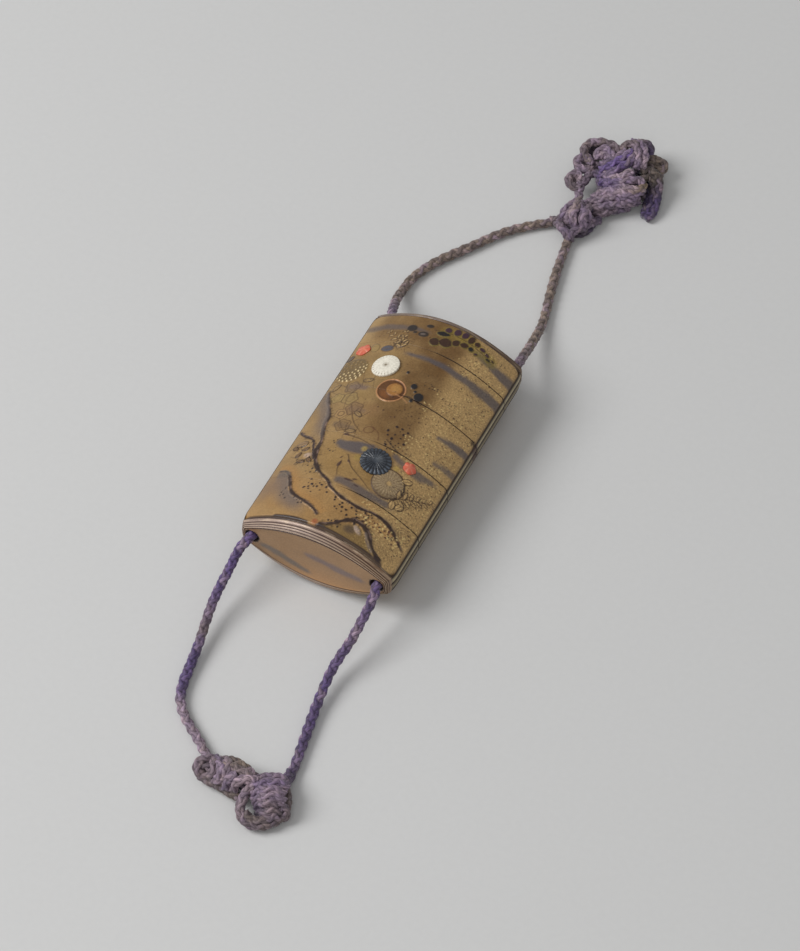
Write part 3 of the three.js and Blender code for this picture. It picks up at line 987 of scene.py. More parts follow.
def paintGround(canvas):
    x, y = canvas.x, canvas.y
    upperLeft = (1 - ease(-9, -3, x)) * ease(-8, 12, y) * (1 - ease(20, 26, y))
    lowMiddle = ease(-14, -8, x) * (1 - ease(5, 9, x)) * (1 - ease(-12, -6, y)) * ease(-24, -18, y)
    canvas.lay(0.92 * ease(-11, 1, x) * (1 - ease(5.5, 10.5, x)) * ease(-12, 0, y), tones["brown"])
    canvas.lay(0.4 * (1 - ease(1.5, 4.5, np.hypot(x + 5.8, (y - 2.6) * 1.3))), tones["redBrown"])
    canvas.lay(0.55 * lowMiddle, tones["amberSoft"])
    canvas.lay(0.75 * ease(25, 31, y) * (1 - ease(2, 9, x)), tones["brown"])
    canvas.lay(0.5 * upperLeft, tones["olive"])
    canvas.lay(0.85 * ease(6.5, 11, x) * (0.6 + 0.4 * cloudy(x, y, 4, 11)), tones["pale"])
    canvas.lay(0.5 * (1 - ease(-26, -20, y)) * (1 - ease(8, 14, x)), tones["orange"])
    canvas.lay(0.35 * cloudy(x, y * 1.4, 5, 21), tones["shade"])
    canvas.lay(0.3 * cloudy(x + 40, y, 3, 31), tones["pale"])
    canvas.lay(0.5 * (1 - ease(-21, -15, x)) * ease(24, 28, y), tones["pale"])
    canvas.flake = 0.08 + 0.5 * ease(6, 11, x) * (0.4 + 0.6 * cloudy(x, y, 3, 41)) + 0.12 * ease(-14, 0, x)


def paintSpeckle(canvas):
    speckle = scatter(1500, (5.5, -33), (20.4, 35), 77)
    thick = cloudy(speckle[:, 0], speckle[:, 1] * 1.6, 4.0, 51) + 0.02 * speckle[:, 0]
    speckle = speckle[thick > 0.68]
    paintDots(canvas, speckle[::2], (0.1, 0.2), tones["gold"], 0.06, 0.5, 91)
    paintDots(canvas, speckle[1::2], (0.08, 0.17), tones["line"], 0.04, 0.0, 92)


# middle line, half widths along it, colour, strength, seed
frontMist = [
    ([(-22, 31.9), (-14, 32.4), (-9, 32.6), (-2.5, 32.2)], [0.8, 0.9, 0.6, 0.2], "haze", 0.65, 2),
    (
        [(-7, 23.6), (-2, 23.8), (3, 23.9), (9, 23.6), (15, 23.4), (22.5, 23.2)],
        [0.3, 0.55, 0.75, 1.0, 1.4, 1.6], "haze", 0.85, 3,
    ),
    ([(9, 33), (13, 32.4), (17, 31.7), (22.5, 31.4)], [0.3, 0.9, 1.3, 1.4], "haze", 0.85, 4),
    ([(12.5, 3.9), (16, 4.6), (19, 4.9), (22.5, 5.2)], [0.3, 0.7, 0.9, 0.9], "haze", 0.85, 5),
    ([(15, -3.4), (18, -2.8), (22.5, -2.2)], [0.3, 0.8, 1.1], "haze", 0.7, 6),
    ([(-9, -9.6), (-6, -10.4), (-2, -10.2), (2, -8.6)], [0.6, 1.7, 1.9, 0.9], "haze", 0.9, 7),
    ([(6, -7.6), (9, -8.8), (14, -9.2), (18.4, -8.3)], [0.6, 0.9, 1.1, 0.5], "haze", 0.75, 8),
    ([(-4, -21.6), (0, -21.7), (5, -22.2), (12.5, -22)], [0.8, 1.1, 1.2, 0.8], "haze", 0.8, 9),
    ([(-15, 9.6), (-12.5, 9.8), (-9.5, 9.6)], [0.5, 0.9, 0.5], "hazeRed", 0.6, 10),
    ([(-11.5, 2.2), (-9, 2.0), (-6, 1.6)], [0.5, 1.0, 0.4], "hazeBrown", 0.45, 17),
    ([(-13, -3.6), (-9, -4.4), (-6, -4.6)], [0.4, 0.9, 0.4], "hazeDeep", 0.6, 18),
]
rockLines = {
    "tall": [
        (-20.4, 9), (-18.3, 4.5), (-16.4, 1.2), (-15.2, -1.4), (-14.8, -4.2), (-13.9, -7), (-12.7, -10.2),
        (-12.3, -13.4), (-11.2, -16.6), (-9.4, -19.2), (-7.2, -21.2), (-4.4, -22.9), (-2.6, -24.6),
        (0.2, -26), (3.6, -26.8), (7, -26.9), (10.2, -26.3), (13.2, -26.2), (15.4, -26.9), (17.4, -28.4),
        (19.2, -29.6), (20.6, -30.6),
    ],
    "branch": [
        (-20.6, -6.6), (-18.6, -8.4), (-16.2, -9.4), (-14.6, -10.8), (-13.6, -13), (-12.4, -15.4),
        (-11.4, -17.2),
    ],
    "lower": [
        (-19.4, -21.6), (-17.6, -21.4), (-15.9, -22.3), (-14.4, -24.4), (-13.2, -26.6), (-11.8, -28.6),
        (-9.6, -30), (-7.2, -30.9), (-4.8, -31.9), (-2.6, -33.2), (-1.4, -34.2),
    ],
    "small": [
        (-0.6, -36.9), (1.4, -36), (3, -34.8), (4.4, -33.2), (6, -31.7), (7.6, -30.9), (9.4, -31),
        (11.2, -31.9), (12.6, -33.2), (13.8, -34.8), (15.8, -36.2), (17.4, -37),
    ],
    "foot": [(-20.6, -37.35), (-15.5, -37.3), (-12.0, -37.2), (-9.0, -37.05), (-6.4, -37.0), (-3.4, -37.3)],
    "footRight": [(-0.4, -37.0), (3, -36.9), (8, -37.0), (13, -36.9), (17.4, -37.1)],
    "back": [
        (-20.5, -18), (-15, -20.5), (-11, -24.5), (-5, -26.4), (2, -26), (8, -28.8), (14, -30), (20.5, -32.6),
    ],
}


def paintRocks(canvas):
    x, y = canvas.x, canvas.y
    signed, away, fade = paintRock(canvas, rockLines["tall"], 1.15, 0.22, 3)
    lit = ease(-0.4, 0.3, -signed) * (1 - ease(1.0, 4.4, away)) * fade * ease(-14, -2, y)
    canvas.lay(0.75 * lit, tones["rockGrey"])
    crest = ease(0.2, 0.6, signed) * (1 - ease(0.3, 1.8, away)) * (1 - ease(-22, -18, y))
    canvas.lay(0.55 * crest, tones["pale"])
    paintRock(canvas, rockLines["branch"], 0.7, 0.15, 4)
    signed, away, fade = paintRock(canvas, rockLines["lower"], 0.95, 0.2, 5)
    lit = ease(0.2, 0.7, -signed) * (1 - ease(1.5, 6.0, away)) * fade * (1 - ease(-10, -4, x))
    canvas.lay(0.85 * lit, tones["rockGrey"])
    tuft = 1 - ease(0.5, 2.6, np.hypot(x + 17.0, (y + 22.2) * 1.3))
    canvas.lay(0.85 * tuft * (0.6 + 0.4 * patchy(x * 2, y, 0.6, 45)), tones["rockTuft"])
    canvas.spot(-19.4, -26.6, 3.4, tones["rockWash"], 0, 0.6, 2.4, 1.2)
    canvas.lay(0.6 * ease(0.3, 0.9, signed) * (1 - ease(1, 3.6, away)) * fade, tones["orange"])
    paintRock(canvas, rockLines["small"], 1.25, 0.25, 6)
    slope = [(0.4, -37.4), (3.4, -35.2), (6.2, -32.9), (9, -31.9), (12, -33.9), (15, -37.2)]
    canvas.region(slope, tones["olive"] * 0.85, 0.7, 0.7)
    canvas.spot(7.4, -33.9, 1.7, tones["rockDeep"], 0.1, 0.7, 0.9, 0.7, 20)
    canvas.spot(9.0, -33.0, 1.3, tones["rockPale"], 0.3, 0.95, 0.6, 0.5, -38)
    canvas.stroke([(11.2, -32.6), (12.2, -34.2), (14.2, -36)], 0.7, tones["rockGrey"], 0.1, 0.8, 0.3)
    canvas.stroke(rockLines["foot"], 0.5, tones["rockLine"], 0, 0.95, 0.2, metal=0.0)
    canvas.stroke(rockLines["foot"][2:6], 1.3, tones["rockLine"], 0, 0.98, 0.3, metal=0.0)
    canvas.stroke(rockLines["footRight"], 0.8, tones["rockLine"], 0, 0.9, 0.25, metal=0.0)
    canvas.spot(-1.3, -36.2, 0.8, tones["rust"], 0.1, 0.8, 0.5)


leftStems = [
    [(-3.6, -13.2), (-1.2, -16.4), (2.4, -18.6), (6.2, -20.8)],
    [(-4.2, -15.6), (-4.1, -18.2), (-3.2, -20.4)],
    [(3.0, -4.6), (6.4, -6.2), (9.6, -7.2)],
    [(-7.6, -7.2), (-3, -7.4), (1.6, -8.4)],
    [(-11, 3.2), (-7.4, -2.6), (-4.2, -5.2)],
]
thinStems = [
    [(-12.6, 9.2), (-13.2, 5.2), (-12.4, 1.4)],
    [(-11.8, -2.0), (-9.0, -5.6), (-4.6, -7.4)],
    [(-14.6, 8.0), (-15.8, 11.2), (-14.0, 13.2)],
]
roundLeaves = [  # x, y, radius, wash
    (-16.1, 5.4, 1.7, tone(172, 148, 92)),
    (-12.5, 5.4, 2.1, tone(160, 136, 88)),
    (-12.2, -0.2, 1.7, tone(178, 142, 96)),
    (-13.8, 9.5, 1.9, tone(134, 112, 92)),
    (-9.6, 2.0, 2.2, tone(134, 104, 76)),
    (-9.8, -4.1, 2.0, tone(128, 100, 68)),
]


def paintLeftPlants(canvas):
    for stem in leftStems:
        canvas.stroke(stem, 0.34, tones["line"], 0.1, 0.8, 0.12, 0.5)
    for leaf in roundLeaves:
        paintRoundLeaf(canvas, *leaf)
    canvas.ring(-12.2, -0.2, 0.8, 0.22, tones["line"], 0, 0.6)
    canvas.ring(-2.5, -3.8, 1.3, 0.3, tones["lineRed"], 0.05, 0.6, 0.8, 30)
    canvas.stroke([(-2.0, -2.6), (0.3, -3.9), (1.2, -6.0)], 0.26, tones["lineRed"], 0.05, 0.6)
    for stem in thinStems:
        canvas.stroke(stem, 0.24, tones["line"], 0.05, 0.6, 0.12, 0.4)
    for x, y, turn in ((-18.4, 9.4, 60), (-10.6, 12.4, 20), (-7.6, 0.4, -30), (-6.8, -5.6, 10)):
        paintLeaf(canvas, x, y, 2.8, 1.2, turn, tones["pale"], tones["line"], 0.1, True, 0.35)


halfFlower = {"x": -17.3, "y": 16.0, "tall": 1.05, "rings": [(1.1, 6), (2.1, 11), (3.1, 16), (3.9, 20)]}


def paintHalfFlower(canvas):
    # rings of gold beads, brighter on one side, and cut off above
    atX, atY, tall = halfFlower["x"], halfFlower["y"], halfFlower["tall"]
    canvas.spot(atX, atY, 4.1, tones["beadGround"], 0.25, 0.8, 0.4, tall)
    for radius, count in halfFlower["rings"]:
        turns = np.arange(count) * 2 * math.pi / count + radius
        x, y = radius * np.cos(turns), tall * radius * np.sin(turns)
        shown = y < 3.5
        bright = shown & (y - 0.6 * x < 0.2)
        spots = np.stack([atX + x, atY + y], 1)
        paintDots(canvas, spots[shown], (0.2, 0.3), tones["bead"], 0.18, 0.4, int(radius * 10))
        paintDots(canvas, spots[bright], (0.19, 0.27), tones["beadBright"], 0.1, 0.3, int(radius * 10))


def paintUpperLeft(canvas):
    canvas.spot(-14.7, 24.3, 1.2, tones["bud"], 0.2, 0.7, 0.3, 1.3, 20)
    canvas.ring(-14.7, 24.3, 1.2, 0.2, tones["line"], 0, 0.5, 1.3, 20)
    paintLeaf(canvas, -11.2, 24.3, 3.4, 2.4, 10, tones["leafGrey"], tones["shade"], 0.1)
    paintLeaf(canvas, -9.2, 26.4, 2.4, 1.3, 60, tones["olive"], tones["line"], 0.1)
    paintLeaf(canvas, -20.2, 20.6, 2.6, 1.6, 50, tones["leafHaze"], tones["line"], 0.1)
    paintFrond(canvas, (-7.2, 26.0), (-13.2, 30.4), 5, 2.0, 0.9)
    paintFrond(canvas, (-8.0, 25.6), (-9.0, 30.8), 4, 1.7, 0.8)


def paintAmberRing(canvas):
    canvas.spot(-3.2, 10.5, 3.7, tones["amberDeep"], 0.0, 0.9, 0.3)
    canvas.spot(-4.4, 8.8, 1.6, tones["amberGlow"], 0.0, 0.5, 1.0, 0.7, -40)
    canvas.ring(-3.2, 10.5, 3.75, 0.34, tones["copper"], 0.24)
    canvas.ring(-3.25, 10.45, 3.35, 0.2, tones["amberDeep"] * 0.8, 0, 0.7)
    canvas.ring(-2.5, 11.0, 2.25, 0.24, tones["amberDeep"] * 0.7, 0.05, 0.8)
    canvas.spot(-2.5, 11.0, 2.1, tones["amber"], 0.25, 1.0, 0.25)
    canvas.spot(-2.2, 11.3, 1.2, tones["amberPale"], 0.05, 0.7, 0.8)
    canvas.stroke([(-1.4, 9.6), (0.6, 9.3), (2.4, 8.4)], 0.3, tones["copper"], 0.12, 0.7)


def paintBerries(canvas):
    berries = [(1.6, 14.0, 0.85), (4.1, 11.4, 1.25), (2.9, 9.5, 0.5), (-1.9, 17.6, 0.42), (2.6, 12.6, 0.4)]
    for x, y, radius in berries:
        canvas.spot(x, y, radius, tones["berry"], 0.25, 1.0, 0.14, 1.1, metal=0.0)
    canvas.stroke([(0.4, 9.8), (2.0, 10.4), (4.0, 9.9), (5.6, 9.6)], 0.3, tones["line"], 0.1)


disc = {"x": 9.3, "y": -16.4, "radius": 4.15, "tall": 1.05, "rays": 24}


def paintDisc(canvas):
    dx, dy = canvas.x - disc["x"], canvas.y - disc["y"]
    away = np.hypot(dx, dy)
    canvas.spot(disc["x"], disc["y"], disc["radius"], tones["disc"], 0.28, 0.95, 0.2, disc["tall"])
    rays = ease(0.2, 0.9, np.cos(np.arctan2(dy, dx) * disc["rays"]) * 0.5 + 0.5)
    canvas.lay(0.65 * rays * (1 - ease(3.8, 4.0, away)) * ease(0.4, 1.2, away), tones["discRay"])
    rim = ease(2.6, 4.0, away) * (1 - ease(4.1, 4.2, away)) * ease(-1, 3, dx - dy)
    canvas.lay(0.5 * rim, tones["discShade"])
    canvas.ring(disc["x"], disc["y"], disc["radius"], 0.36, tones["line"], 0, 0.9, disc["tall"])
    canvas.spot(disc["x"] + 0.2, disc["y"] + 0.2, 0.6, tones["pale"], 0.1, 0.8)
    canvas.spot(-0.6, -9.9, 0.75, tones["yellow"], 0.15, 0.65, 0.4, 1.1)
    canvas.spot(9.0, -11.1, 0.75, tones["yellow"], 0.15, 0.65, 0.4, 1.1)
    canvas.spot(-1.0, -13.2, 0.9, tones["yellow"] * 0.75, 0.1, 0.5, 0.5, 1.1)


spray = {
    "stem": [(-2, 33.6), (1.6, 34.2), (5, 34.3), (8.6, 34.1), (11.6, 33.6), (14.2, 33)],
    "berries": [  # x, y, radius, how tall for its width
        (-8.0, 32.5, 1.35, 0.9), (-4.2, 31.2, 1.45, 0.65), (-3.7, 34.4, 1.0, 0.6), (-6.6, 31.3, 0.6, 0.7),
    ],
    "leaves": [  # x, y, length, width, turn
        (-0.4, 29.9, 2.3, 2.3, 0), (2.3, 30.9, 2.8, 2.6, 15), (4.7, 32.2, 1.5, 2.0, -25),
        (6.8, 32.8, 1.8, 1.5, 25), (8.7, 32.8, 1.2, 1.3, 10), (0.6, 33.3, 2.9, 1.4, 12),
        (1.3, 35.0, 1.5, 1.6, 20), (3.7, 35.5, 1.5, 2.1, -15), (5.8, 35.8, 1.3, 2.2, -20),
        (7.7, 35.4, 1.3, 2.4, -12), (9.5, 35.1, 1.2, 1.5, -15), (11.2, 34.6, 1.3, 1.1, 0),
        (12.7, 34.0, 1.2, 0.9, -20), (13.5, 32.9, 1.0, 0.8, 0), (10.3, 32.2, 0.9, 0.7, 30),
        (14.6, 33.4, 0.9, 0.6, -30),
    ],
    "colours": ["berry", "leafViolet", "leafBrown"],
    "leafScale": 1.25,
}


def paintSpray(canvas):
    # dark leaves and berries under the lid's edge
    for x, y, radius, tall in spray["berries"]:
        canvas.spot(x, y, radius, tones["berry"], 0.12, 0.9, 0.2, tall, 8, 0.0)
    canvas.spot(-4.3, 31.2, 0.7, tones["rockGrey"], 0.1, 0.7, 0.3, 0.5, 10)
    distance, _, share = canvas.lineField(spray["stem"], 3.0)
    moss = 0.35 + 0.65 * patchy(canvas.x, canvas.y, 0.9, 91)
    canvas.lay(0.8 * moss * (1 - ease(0.6, 2.6, distance)) * ease(0.02, 0.2, share), tones["moss"])
    canvas.stroke(spray["stem"], 0.22, tones["line"], 0.1, 0.8)
    for x, y, long, wide, turn in spray["leaves"]:
        fill = tones[spray["colours"][int(x * 10) % 3]]
        long, wide = long * spray["leafScale"], wide * spray["leafScale"]
        paintLeaf(canvas, x, y, long, wide, turn, fill, tones["leafLine"], 0.16, False)


def paintRightPlants(canvas):
    for x, y, turn in ((12.6, -21.0, 100), (14.4, -20.4, 60), (12.9, -12.7, 30)):
        paintLeaf(canvas, x, y, 2.6, 1.7, turn, tones["pale"], tones["line"], 0.16)
    stem = [(12.4, -19.0), (14.6, -17.2), (17.0, -15.6), (19.8, -13.6)]
    canvas.stroke(stem, 0.22, tones["line"], 0.08, 0.85)
    paintFrond(canvas, (13.0, -18.6), (19.6, -13.7), 6, 2.4, 1.05)
    canvas.spot(20.7, 9.6, 0.8, tones["edgeStain"], 0, 0.85, 0.5)
    for radius in (0.7, 1.3, 1.9):
        canvas.ring(18.3, -26.2, radius, 0.2, tones["line"], 0.05, 0.45)
    for k in range(6):
        blade = [(14 + k * 0.9, -32.2 - k * 0.2), (16.2 + k * 0.7, -34.6)]
        canvas.stroke(blade, 0.16, tones["line"], 0, 0.55)


inkLeaves = [  # x, y, length, width, turn
    (-4.3, -16.8, 2.2, 1.0, 80), (0.2, -20.6, 3.0, 0.7, 5), (-2.4, -15.2, 1.6, 0.6, -40),
    (-4.8, -14.6, 1.0, 0.5, 60), (1.6, -19.8, 1.6, 0.6, 20), (-7.2, -7.0, 1.7, 0.9, 0),
    (2.7, -21.4, 1.6, 0.5, -5),
]
tanLeaves = [  # x, y, turn
    (-15.6, -13.4, 30), (-12.8, -17.2, -40), (-16.6, -15.6, 70), (-14.8, -17.8, 10), (-18.6, -13.2, -30),
]


def paintStemLeaves(canvas):
    for x, y, length, width, turn in inkLeaves:
        paintLeaf(canvas, x, y, length * 0.9, width, turn, tones["leafInk"], None, 0.06, False, 0.8)
    paintLeaf(canvas, -17.4, -11.6, 3.2, 2.0, 20, tones["leafSand"], tones["rockLine"], 0.25)
    canvas.spot(-13.9, -15.6, 1.0, tones["blossom"], 0.35, 0.9, 0.5, 0.8)
    for x, y, turn in tanLeaves:
        paintLeaf(canvas, x, y, 2.0, 1.1, turn, tones["leafTan"], tones["rockLine"], 0.2)


# middle x and y, spread across and along, count, least and largest radius, colour, metal
darkDots = [
    (4.9, -2.0, 1.5, 1.3, 34, 0.18, 0.42, "dot", 0),
    (4.7, -5.2, 0.8, 0.5, 7, 0.2, 0.4, "dot", 0),
    (3.6, 5.6, 3.4, 2.2, 30, 0.1, 0.22, "dotBrown", 0),
    (-5.6, -25.5, 1.8, 0.9, 34, 0.18, 0.36, "dot", 0),
    (-8.4, -26.2, 0.8, 0.8, 9, 0.16, 0.3, "dot", 0),
    (3.0, -28.8, 2.2, 0.8, 34, 0.18, 0.36, "dot", 0),
    (7.4, -30.4, 1.6, 0.8, 14, 0.16, 0.32, "dot", 0),
    (9.2, -27.9, 1.4, 0.5, 12, 0.16, 0.34, "dot", 0),
    (9.6, -27.8, 0.8, 0.5, 7, 0.16, 0.3, "ink", 0),
    (-8.6, -31, 1.5, 0.5, 9, 0.12, 0.26, "ink", 0),
    (-14.2, -28.6, 0.5, 0.9, 10, 0.1, 0.2, "ink", 0),
    (-14.4, -18.4, 1.4, 0.9, 14, 0.12, 0.26, "ink", 0),
    (-9.6, -20.6, 0.9, 0.8, 10, 0.14, 0.28, "ink", 0),
    (3.6, -34.6, 1.6, 0.8, 12, 0.14, 0.3, "ink", 0),
    (-8.6, -12.8, 1.4, 1.8, 10, 0.1, 0.2, "ink", 0),
    (4.4, 16.2, 2.0, 2.0, 14, 0.08, 0.18, "ink", 0),
    (-9.6, 28.6, 2.6, 1.4, 22, 0.08, 0.18, "line", 0),
    (5.0, -6.0, 1.6, 0.9, 10, 0.1, 0.2, "ink", 0),
]
mossDots = [
    (13.4, -28.8, 2.2, 0.8, 34, 0.18, 0.38, "gold", 0.4),
    (13.8, -29.2, 2.4, 0.9, 22, 0.18, 0.34, "dotRed", 0),
    (17.4, -29.6, 1.2, 0.8, 16, 0.12, 0.26, "gold", 0.6),
    (14.6, -28.8, 2.0, 0.8, 12, 0.12, 0.24, "ink", 0),
]


def paintCluster(canvas, picks, x, y, spreadX, spreadY, count, least, most, named, metal):
    spots = []
    for place in picks.normal(0, 1, (count, 2)) * [spreadX, spreadY] + [x, y]:
        if all(math.dist(place, other) > 2.2 * most for other in spots):
            spots.append(place)
    paintDots(canvas, spots, (least, most), tones[named], 0.1, metal, count)


def paintClusters(canvas):
    picks = np.random.default_rng(12)
    for group in darkDots:
        paintCluster(canvas, picks, *group)
    canvas.spot(13.6, -28.8, 3.4, tones["orange"] * 1.1, 0, 0.5, 1.2, 0.4, -8)
    for group in mossDots:
        paintCluster(canvas, picks, *group)
    paintDots(canvas, scatter(150, (-19, -33), (10, 35), 78), (0.06, 0.13), tones["line"], 0.03, 0.0, 93)


def paintFront(canvas):
    paintGround(canvas)
    paintSpeckle(canvas)
    paintMist(canvas, frontMist)
    paintRocks(canvas)
    paintLeftPlants(canvas)
    paintHalfFlower(canvas)
    paintUpperLeft(canvas)
    paintAmberRing(canvas)
    paintBerries(canvas)
    paintDisc(canvas)
    paintSpray(canvas)
    paintRightPlants(canvas)
    paintStemLeaves(canvas)
    paintClusters(canvas)


backMist = [
    ([(-22, 27), (-12, 27.6), (-2, 26.8), (4, 27)], [1.5, 1.6, 1.2, 0.4], "haze", 0.8, 12),
    ([(2, 14), (10, 14.6), (22, 14.2)], [0.4, 1.3, 1.6], "haze", 0.8, 13),
    ([(-22, -4), (-12, -4.4), (-5, -3.8)], [1.3, 1.2, 0.3], "haze", 0.7, 14),
]
endMist = [
    ([(-16, -1.8), (-12, -2.4), (-7, -4.2), (-1, -5.8)], [0.4, 1.0, 1.0, 0.3], "hazeGrey", 0.8, 16),
    ([(-3.5, 1.2), (2, 0.8), (7.4, -0.2), (14, -0.8)], [0.3, 0.9, 1.1, 0.5], "hazeMauve", 0.75, 15),
]


def paintBack(canvas):
    # plainer: ground, mist, one rock and a small spray
    x, y = canvas.x, canvas.y
    canvas.lay(0.4 * cloudy(x, y * 1.4, 6, 61), tones["shade"])
    canvas.lay(0.4 * cloudy(x + 30, y, 4, 62), tones["pale"])
    canvas.flake = 0.1 + 0.4 * cloudy(x, y, 4, 63)
    paintMist(canvas, backMist)
    signed, away, fade = paintRock(canvas, rockLines["back"], 1.1, 0.25, 8)
    canvas.lay(0.6 * ease(0.3, 0.8, -signed) * (1 - ease(1, 5, away)) * fade, tones["rockGrey"])
    stem = [(-6, -22), (-3, -16), (1.6, -11.4), (7.4, -8.6)]
    canvas.stroke(stem, 0.4, tones["line"], 0.12, 0.85, 0.12, 0.6)
    for stemX, stemY in curveThrough(stem, 2.4):
        for way in (-1, 1):
            place = stemX + way * 1.1, stemY + way * 0.7
            paintLeaf(canvas, *place, 2.4, 1.1, 40 + way * 50, tones["pale"], tones["line"], 0.1)
    paintDots(canvas, scatter(160, (-19, -33), (19, 34), 79), (0.07, 0.16), tones["line"], 0.03, 0.0, 94)


def paintEnd(canvas):
    x, z = canvas.x, canvas.y
    canvas.lay(0.25 * cloudy(x, z * 2, 5, 71), tones["shade"])
    canvas.lay(0.5 * ease(-1, -8, z) * ease(-12, 0, x), tones["endOrange"])
    paintMist(canvas, endMist)
    canvas.flake[:] = 0.0
    canvas.metal[:] = 0.2


def paintSides(x, y, z):
    # two worn gold beads along each side band, the lower one painted darker as painted shade, with one chip
    high = np.abs(z - midZ)
    bead = np.sin(np.clip((high - 0.1) / 2.2, 0, 1) * math.pi) ** 1.7
    # the lower bead, turned from the light, is painted at half brightness: painted shade
    bead *= np.where(z > midZ, 1.0, 0.5)
    shine = bead * (0.6 + 0.4 * cloudy(y, high * 3, 2.2, 81))
    colour = tones["edge"] + (tones["sideBead"] - tones["edge"]) * shine[:, None]
    chip = (1 - ease(0.6, 1.6, np.abs(y - 9.4) * 0.7)) * (x > 0)
    return colour + (tones["sideChip"] - colour) * (0.8 * chip)[:, None]


def paintMoulding(x, y, z, share):
    wave = np.array([ribWave(value) for value in share])
    worn = cloudy(x * 1.5, z * 1.5, 2.0, 82)
    body = tones["rib"] + (tones["ribWarm"] - tones["rib"]) * ease(-4, 14, x)[:, None]
    # the crests of the roll and ridges are painted lit and the grooves painted dark: painted light and
    # painted shade
    lit = ease(0.1, 0.75, wave) * (0.75 + 0.35 * worn)
    colour = tones["ribShade"] + (body - tones["ribShade"]) * lit[:, None]
    # pale streaks on the roll's top and the bright ridge crests: painted highlights
    streak = cloudy(x * 0.35, share * 14, 1.0, 84)
    colour += (tones["ribHighlight"] - colour) * (0.5 * ease(0.5, 0.8, streak) * (share < 0.36))[:, None]
    crest = ease(0.86, 0.99, wave) * (share > moulding["roll"]) * (0.5 + 0.5 * ease(0.75, 0.9, share))
    colour += (tones["ribHighlight"] - colour) * (0.85 * crest)[:, None]
    # a thin dark line where the end plate sits below the last ridge: painted shade
    colour += (tones["ribShade"] - colour) * (0.9 * ease(0.975, 0.99, share))[:, None]
    # the moulding at the top end, turned from the light, is painted darker: painted shade
    return colour * np.where(y > 0, 0.6, 1.0)[:, None]


def paintFace(x, y, painter):
    canvas = Canvas(x, y, tones["ground"])
    painter(canvas)
    edge = panelEdge(x, y)
    canvas.height *= 1 - ease(-0.7, -0.3, edge)
    shown = 0.15 + 0.85 * ease(-18, -10, canvas.x)  # the painted shade and dark line round the panel are fainter on the left
    # painted shade just inside the panel's edge, then a dark painted-shade line along its groove
    canvas.lay(0.4 * shown * ease(-0.3, -0.12, edge), tones["shade"])
    canvas.lay(0.9 * shown * ease(-0.12, 0.06, edge), tones["edge"])
    canvas.dull(ease(-0.15, 0.0, edge) * shown)
    return canvas


def paintPiece(shell):
    points, zones = np.array(shell.points), np.array(shell.zones)
    colour = np.tile(tones["edge"], (len(points), 1))
    metal, flake = np.full(len(points), 0.1), np.zeros(len(points))
    ringZone, shares, count = shell.skinZone, shell.shares, shell.skinCount
    x, y, z = points[:count].T
    height = np.zeros(count)
    for zone, painter, way in ((front, paintFront, 1), (back, paintBack, -1)):
        pick = np.nonzero((ringZone == zone) & (shares < 0))[0]
        canvas = paintFace(way * x[pick], y[pick], painter)
        colour[pick], metal[pick], flake[pick] = canvas.colour, canvas.metal, canvas.flake
        height[pick] = canvas.height * way
    side = np.nonzero((ringZone % 2 == 1) & (shares < 0))[0]
    colour[side], metal[side] = paintSides(x[side], y[side], z[side]), 0.3
    end = np.nonzero(shares >= 0)[0]
    colour[end], metal[end] = paintMoulding(x[end], y[end], z[end], shares[end]), 0.3
    fromSeam = np.minimum(np.abs(y - shell.seams[0]), np.abs(y - shell.seams[1]))
    # the painted shade along the seams fades where they have worn shut
    openShare = 0.12 + 0.88 * ease(-2, 6, np.where(ringZone == back, 9, x))
    dark = (1 - ease(0.04, 0.2, fromSeam)) * (shares < 0) * openShare
    colour[:count] += (tones["seam"] - colour[:count]) * (0.85 * dark)[:, None]
    points[:count, 2] += height
    within = zones == hollow
    colour[within], metal[within], flake[within] = tones["inside"], 0.3, 0.5
    plate = zones == endFace
    canvas = Canvas(points[plate, 0], points[plate, 2] - midZ, tones["endTan"])
    paintEnd(canvas)
    colour[plate], metal[plate], flake[plate] = canvas.colour, canvas.metal, canvas.flake
    points[:, 2] = np.maximum(points[:, 2], floorGap)
    return points, colour, {"metal": metal, "flake": flake}


def makeCases():
    names = ["lid", "case_1", "case_2", "case_3", "case_4"]
    edges = [caseShape["endY"], *caseShape["seams"], -caseShape["endY"]]
    for name, high, low in zip(names, edges[:-1], edges[1:]):
        riser, socket = name != names[0], name != names[-1]
        high -= riser * caseShape["gap"] / 2
        low += socket * caseShape["gap"] / 2
        shell = caseShell(low, high, riser, socket)
        shell.seams = (low if socket else -99, high if riser else 99)
        points, colour, extra = paintPiece(shell)
        obj = makeMesh(name + "Shell", points, shell.faces, colour, extra)
        finishPiece(obj, goldLacquer, name)
        print(name, "made:", len(shell.faces), "faces")


def frontHeight(x):
    return midZ + caseShape["bandHalf"] + arch(x) + caseShape["panelLift"]


def makeCarving(name, nodeName, piece, heightOf, colourOf, material, slotName):
    # a carved disc that follows the front's curve, from a share of its radius and an angle
    columns = 144
    angle = np.linspace(0, 2 * math.pi, columns, endpoint=False)
    points, colours = [], []
    for share in np.linspace(1, 0.012, 40):
        reach = piece["radius"] * share * (1 + piece["scallop"] * np.cos(piece["petals"] * angle) * share)
        x, y = piece["centre"][0] + reach * np.cos(angle), piece["centre"][1] + reach * np.sin(angle)
        points.append(np.stack([x, y, frontHeight(x) + heightOf(share, angle)], 1))
        colours.append(colourOf(share, angle))
    rim = points[0].copy()
    rim[:, 2] = frontHeight(rim[:, 0]) - 0.12
    points = [rim] + points
    faces = gridFaces(len(points), columns)
    last = (len(points) - 1) * columns
    faces += [list(range(last, last + columns)), list(range(columns))[::-1]]
    obj = makeMesh(name, np.vstack(points), faces, np.vstack(colours[:1] + colours), {})
    finishPiece(obj, material, nodeName)


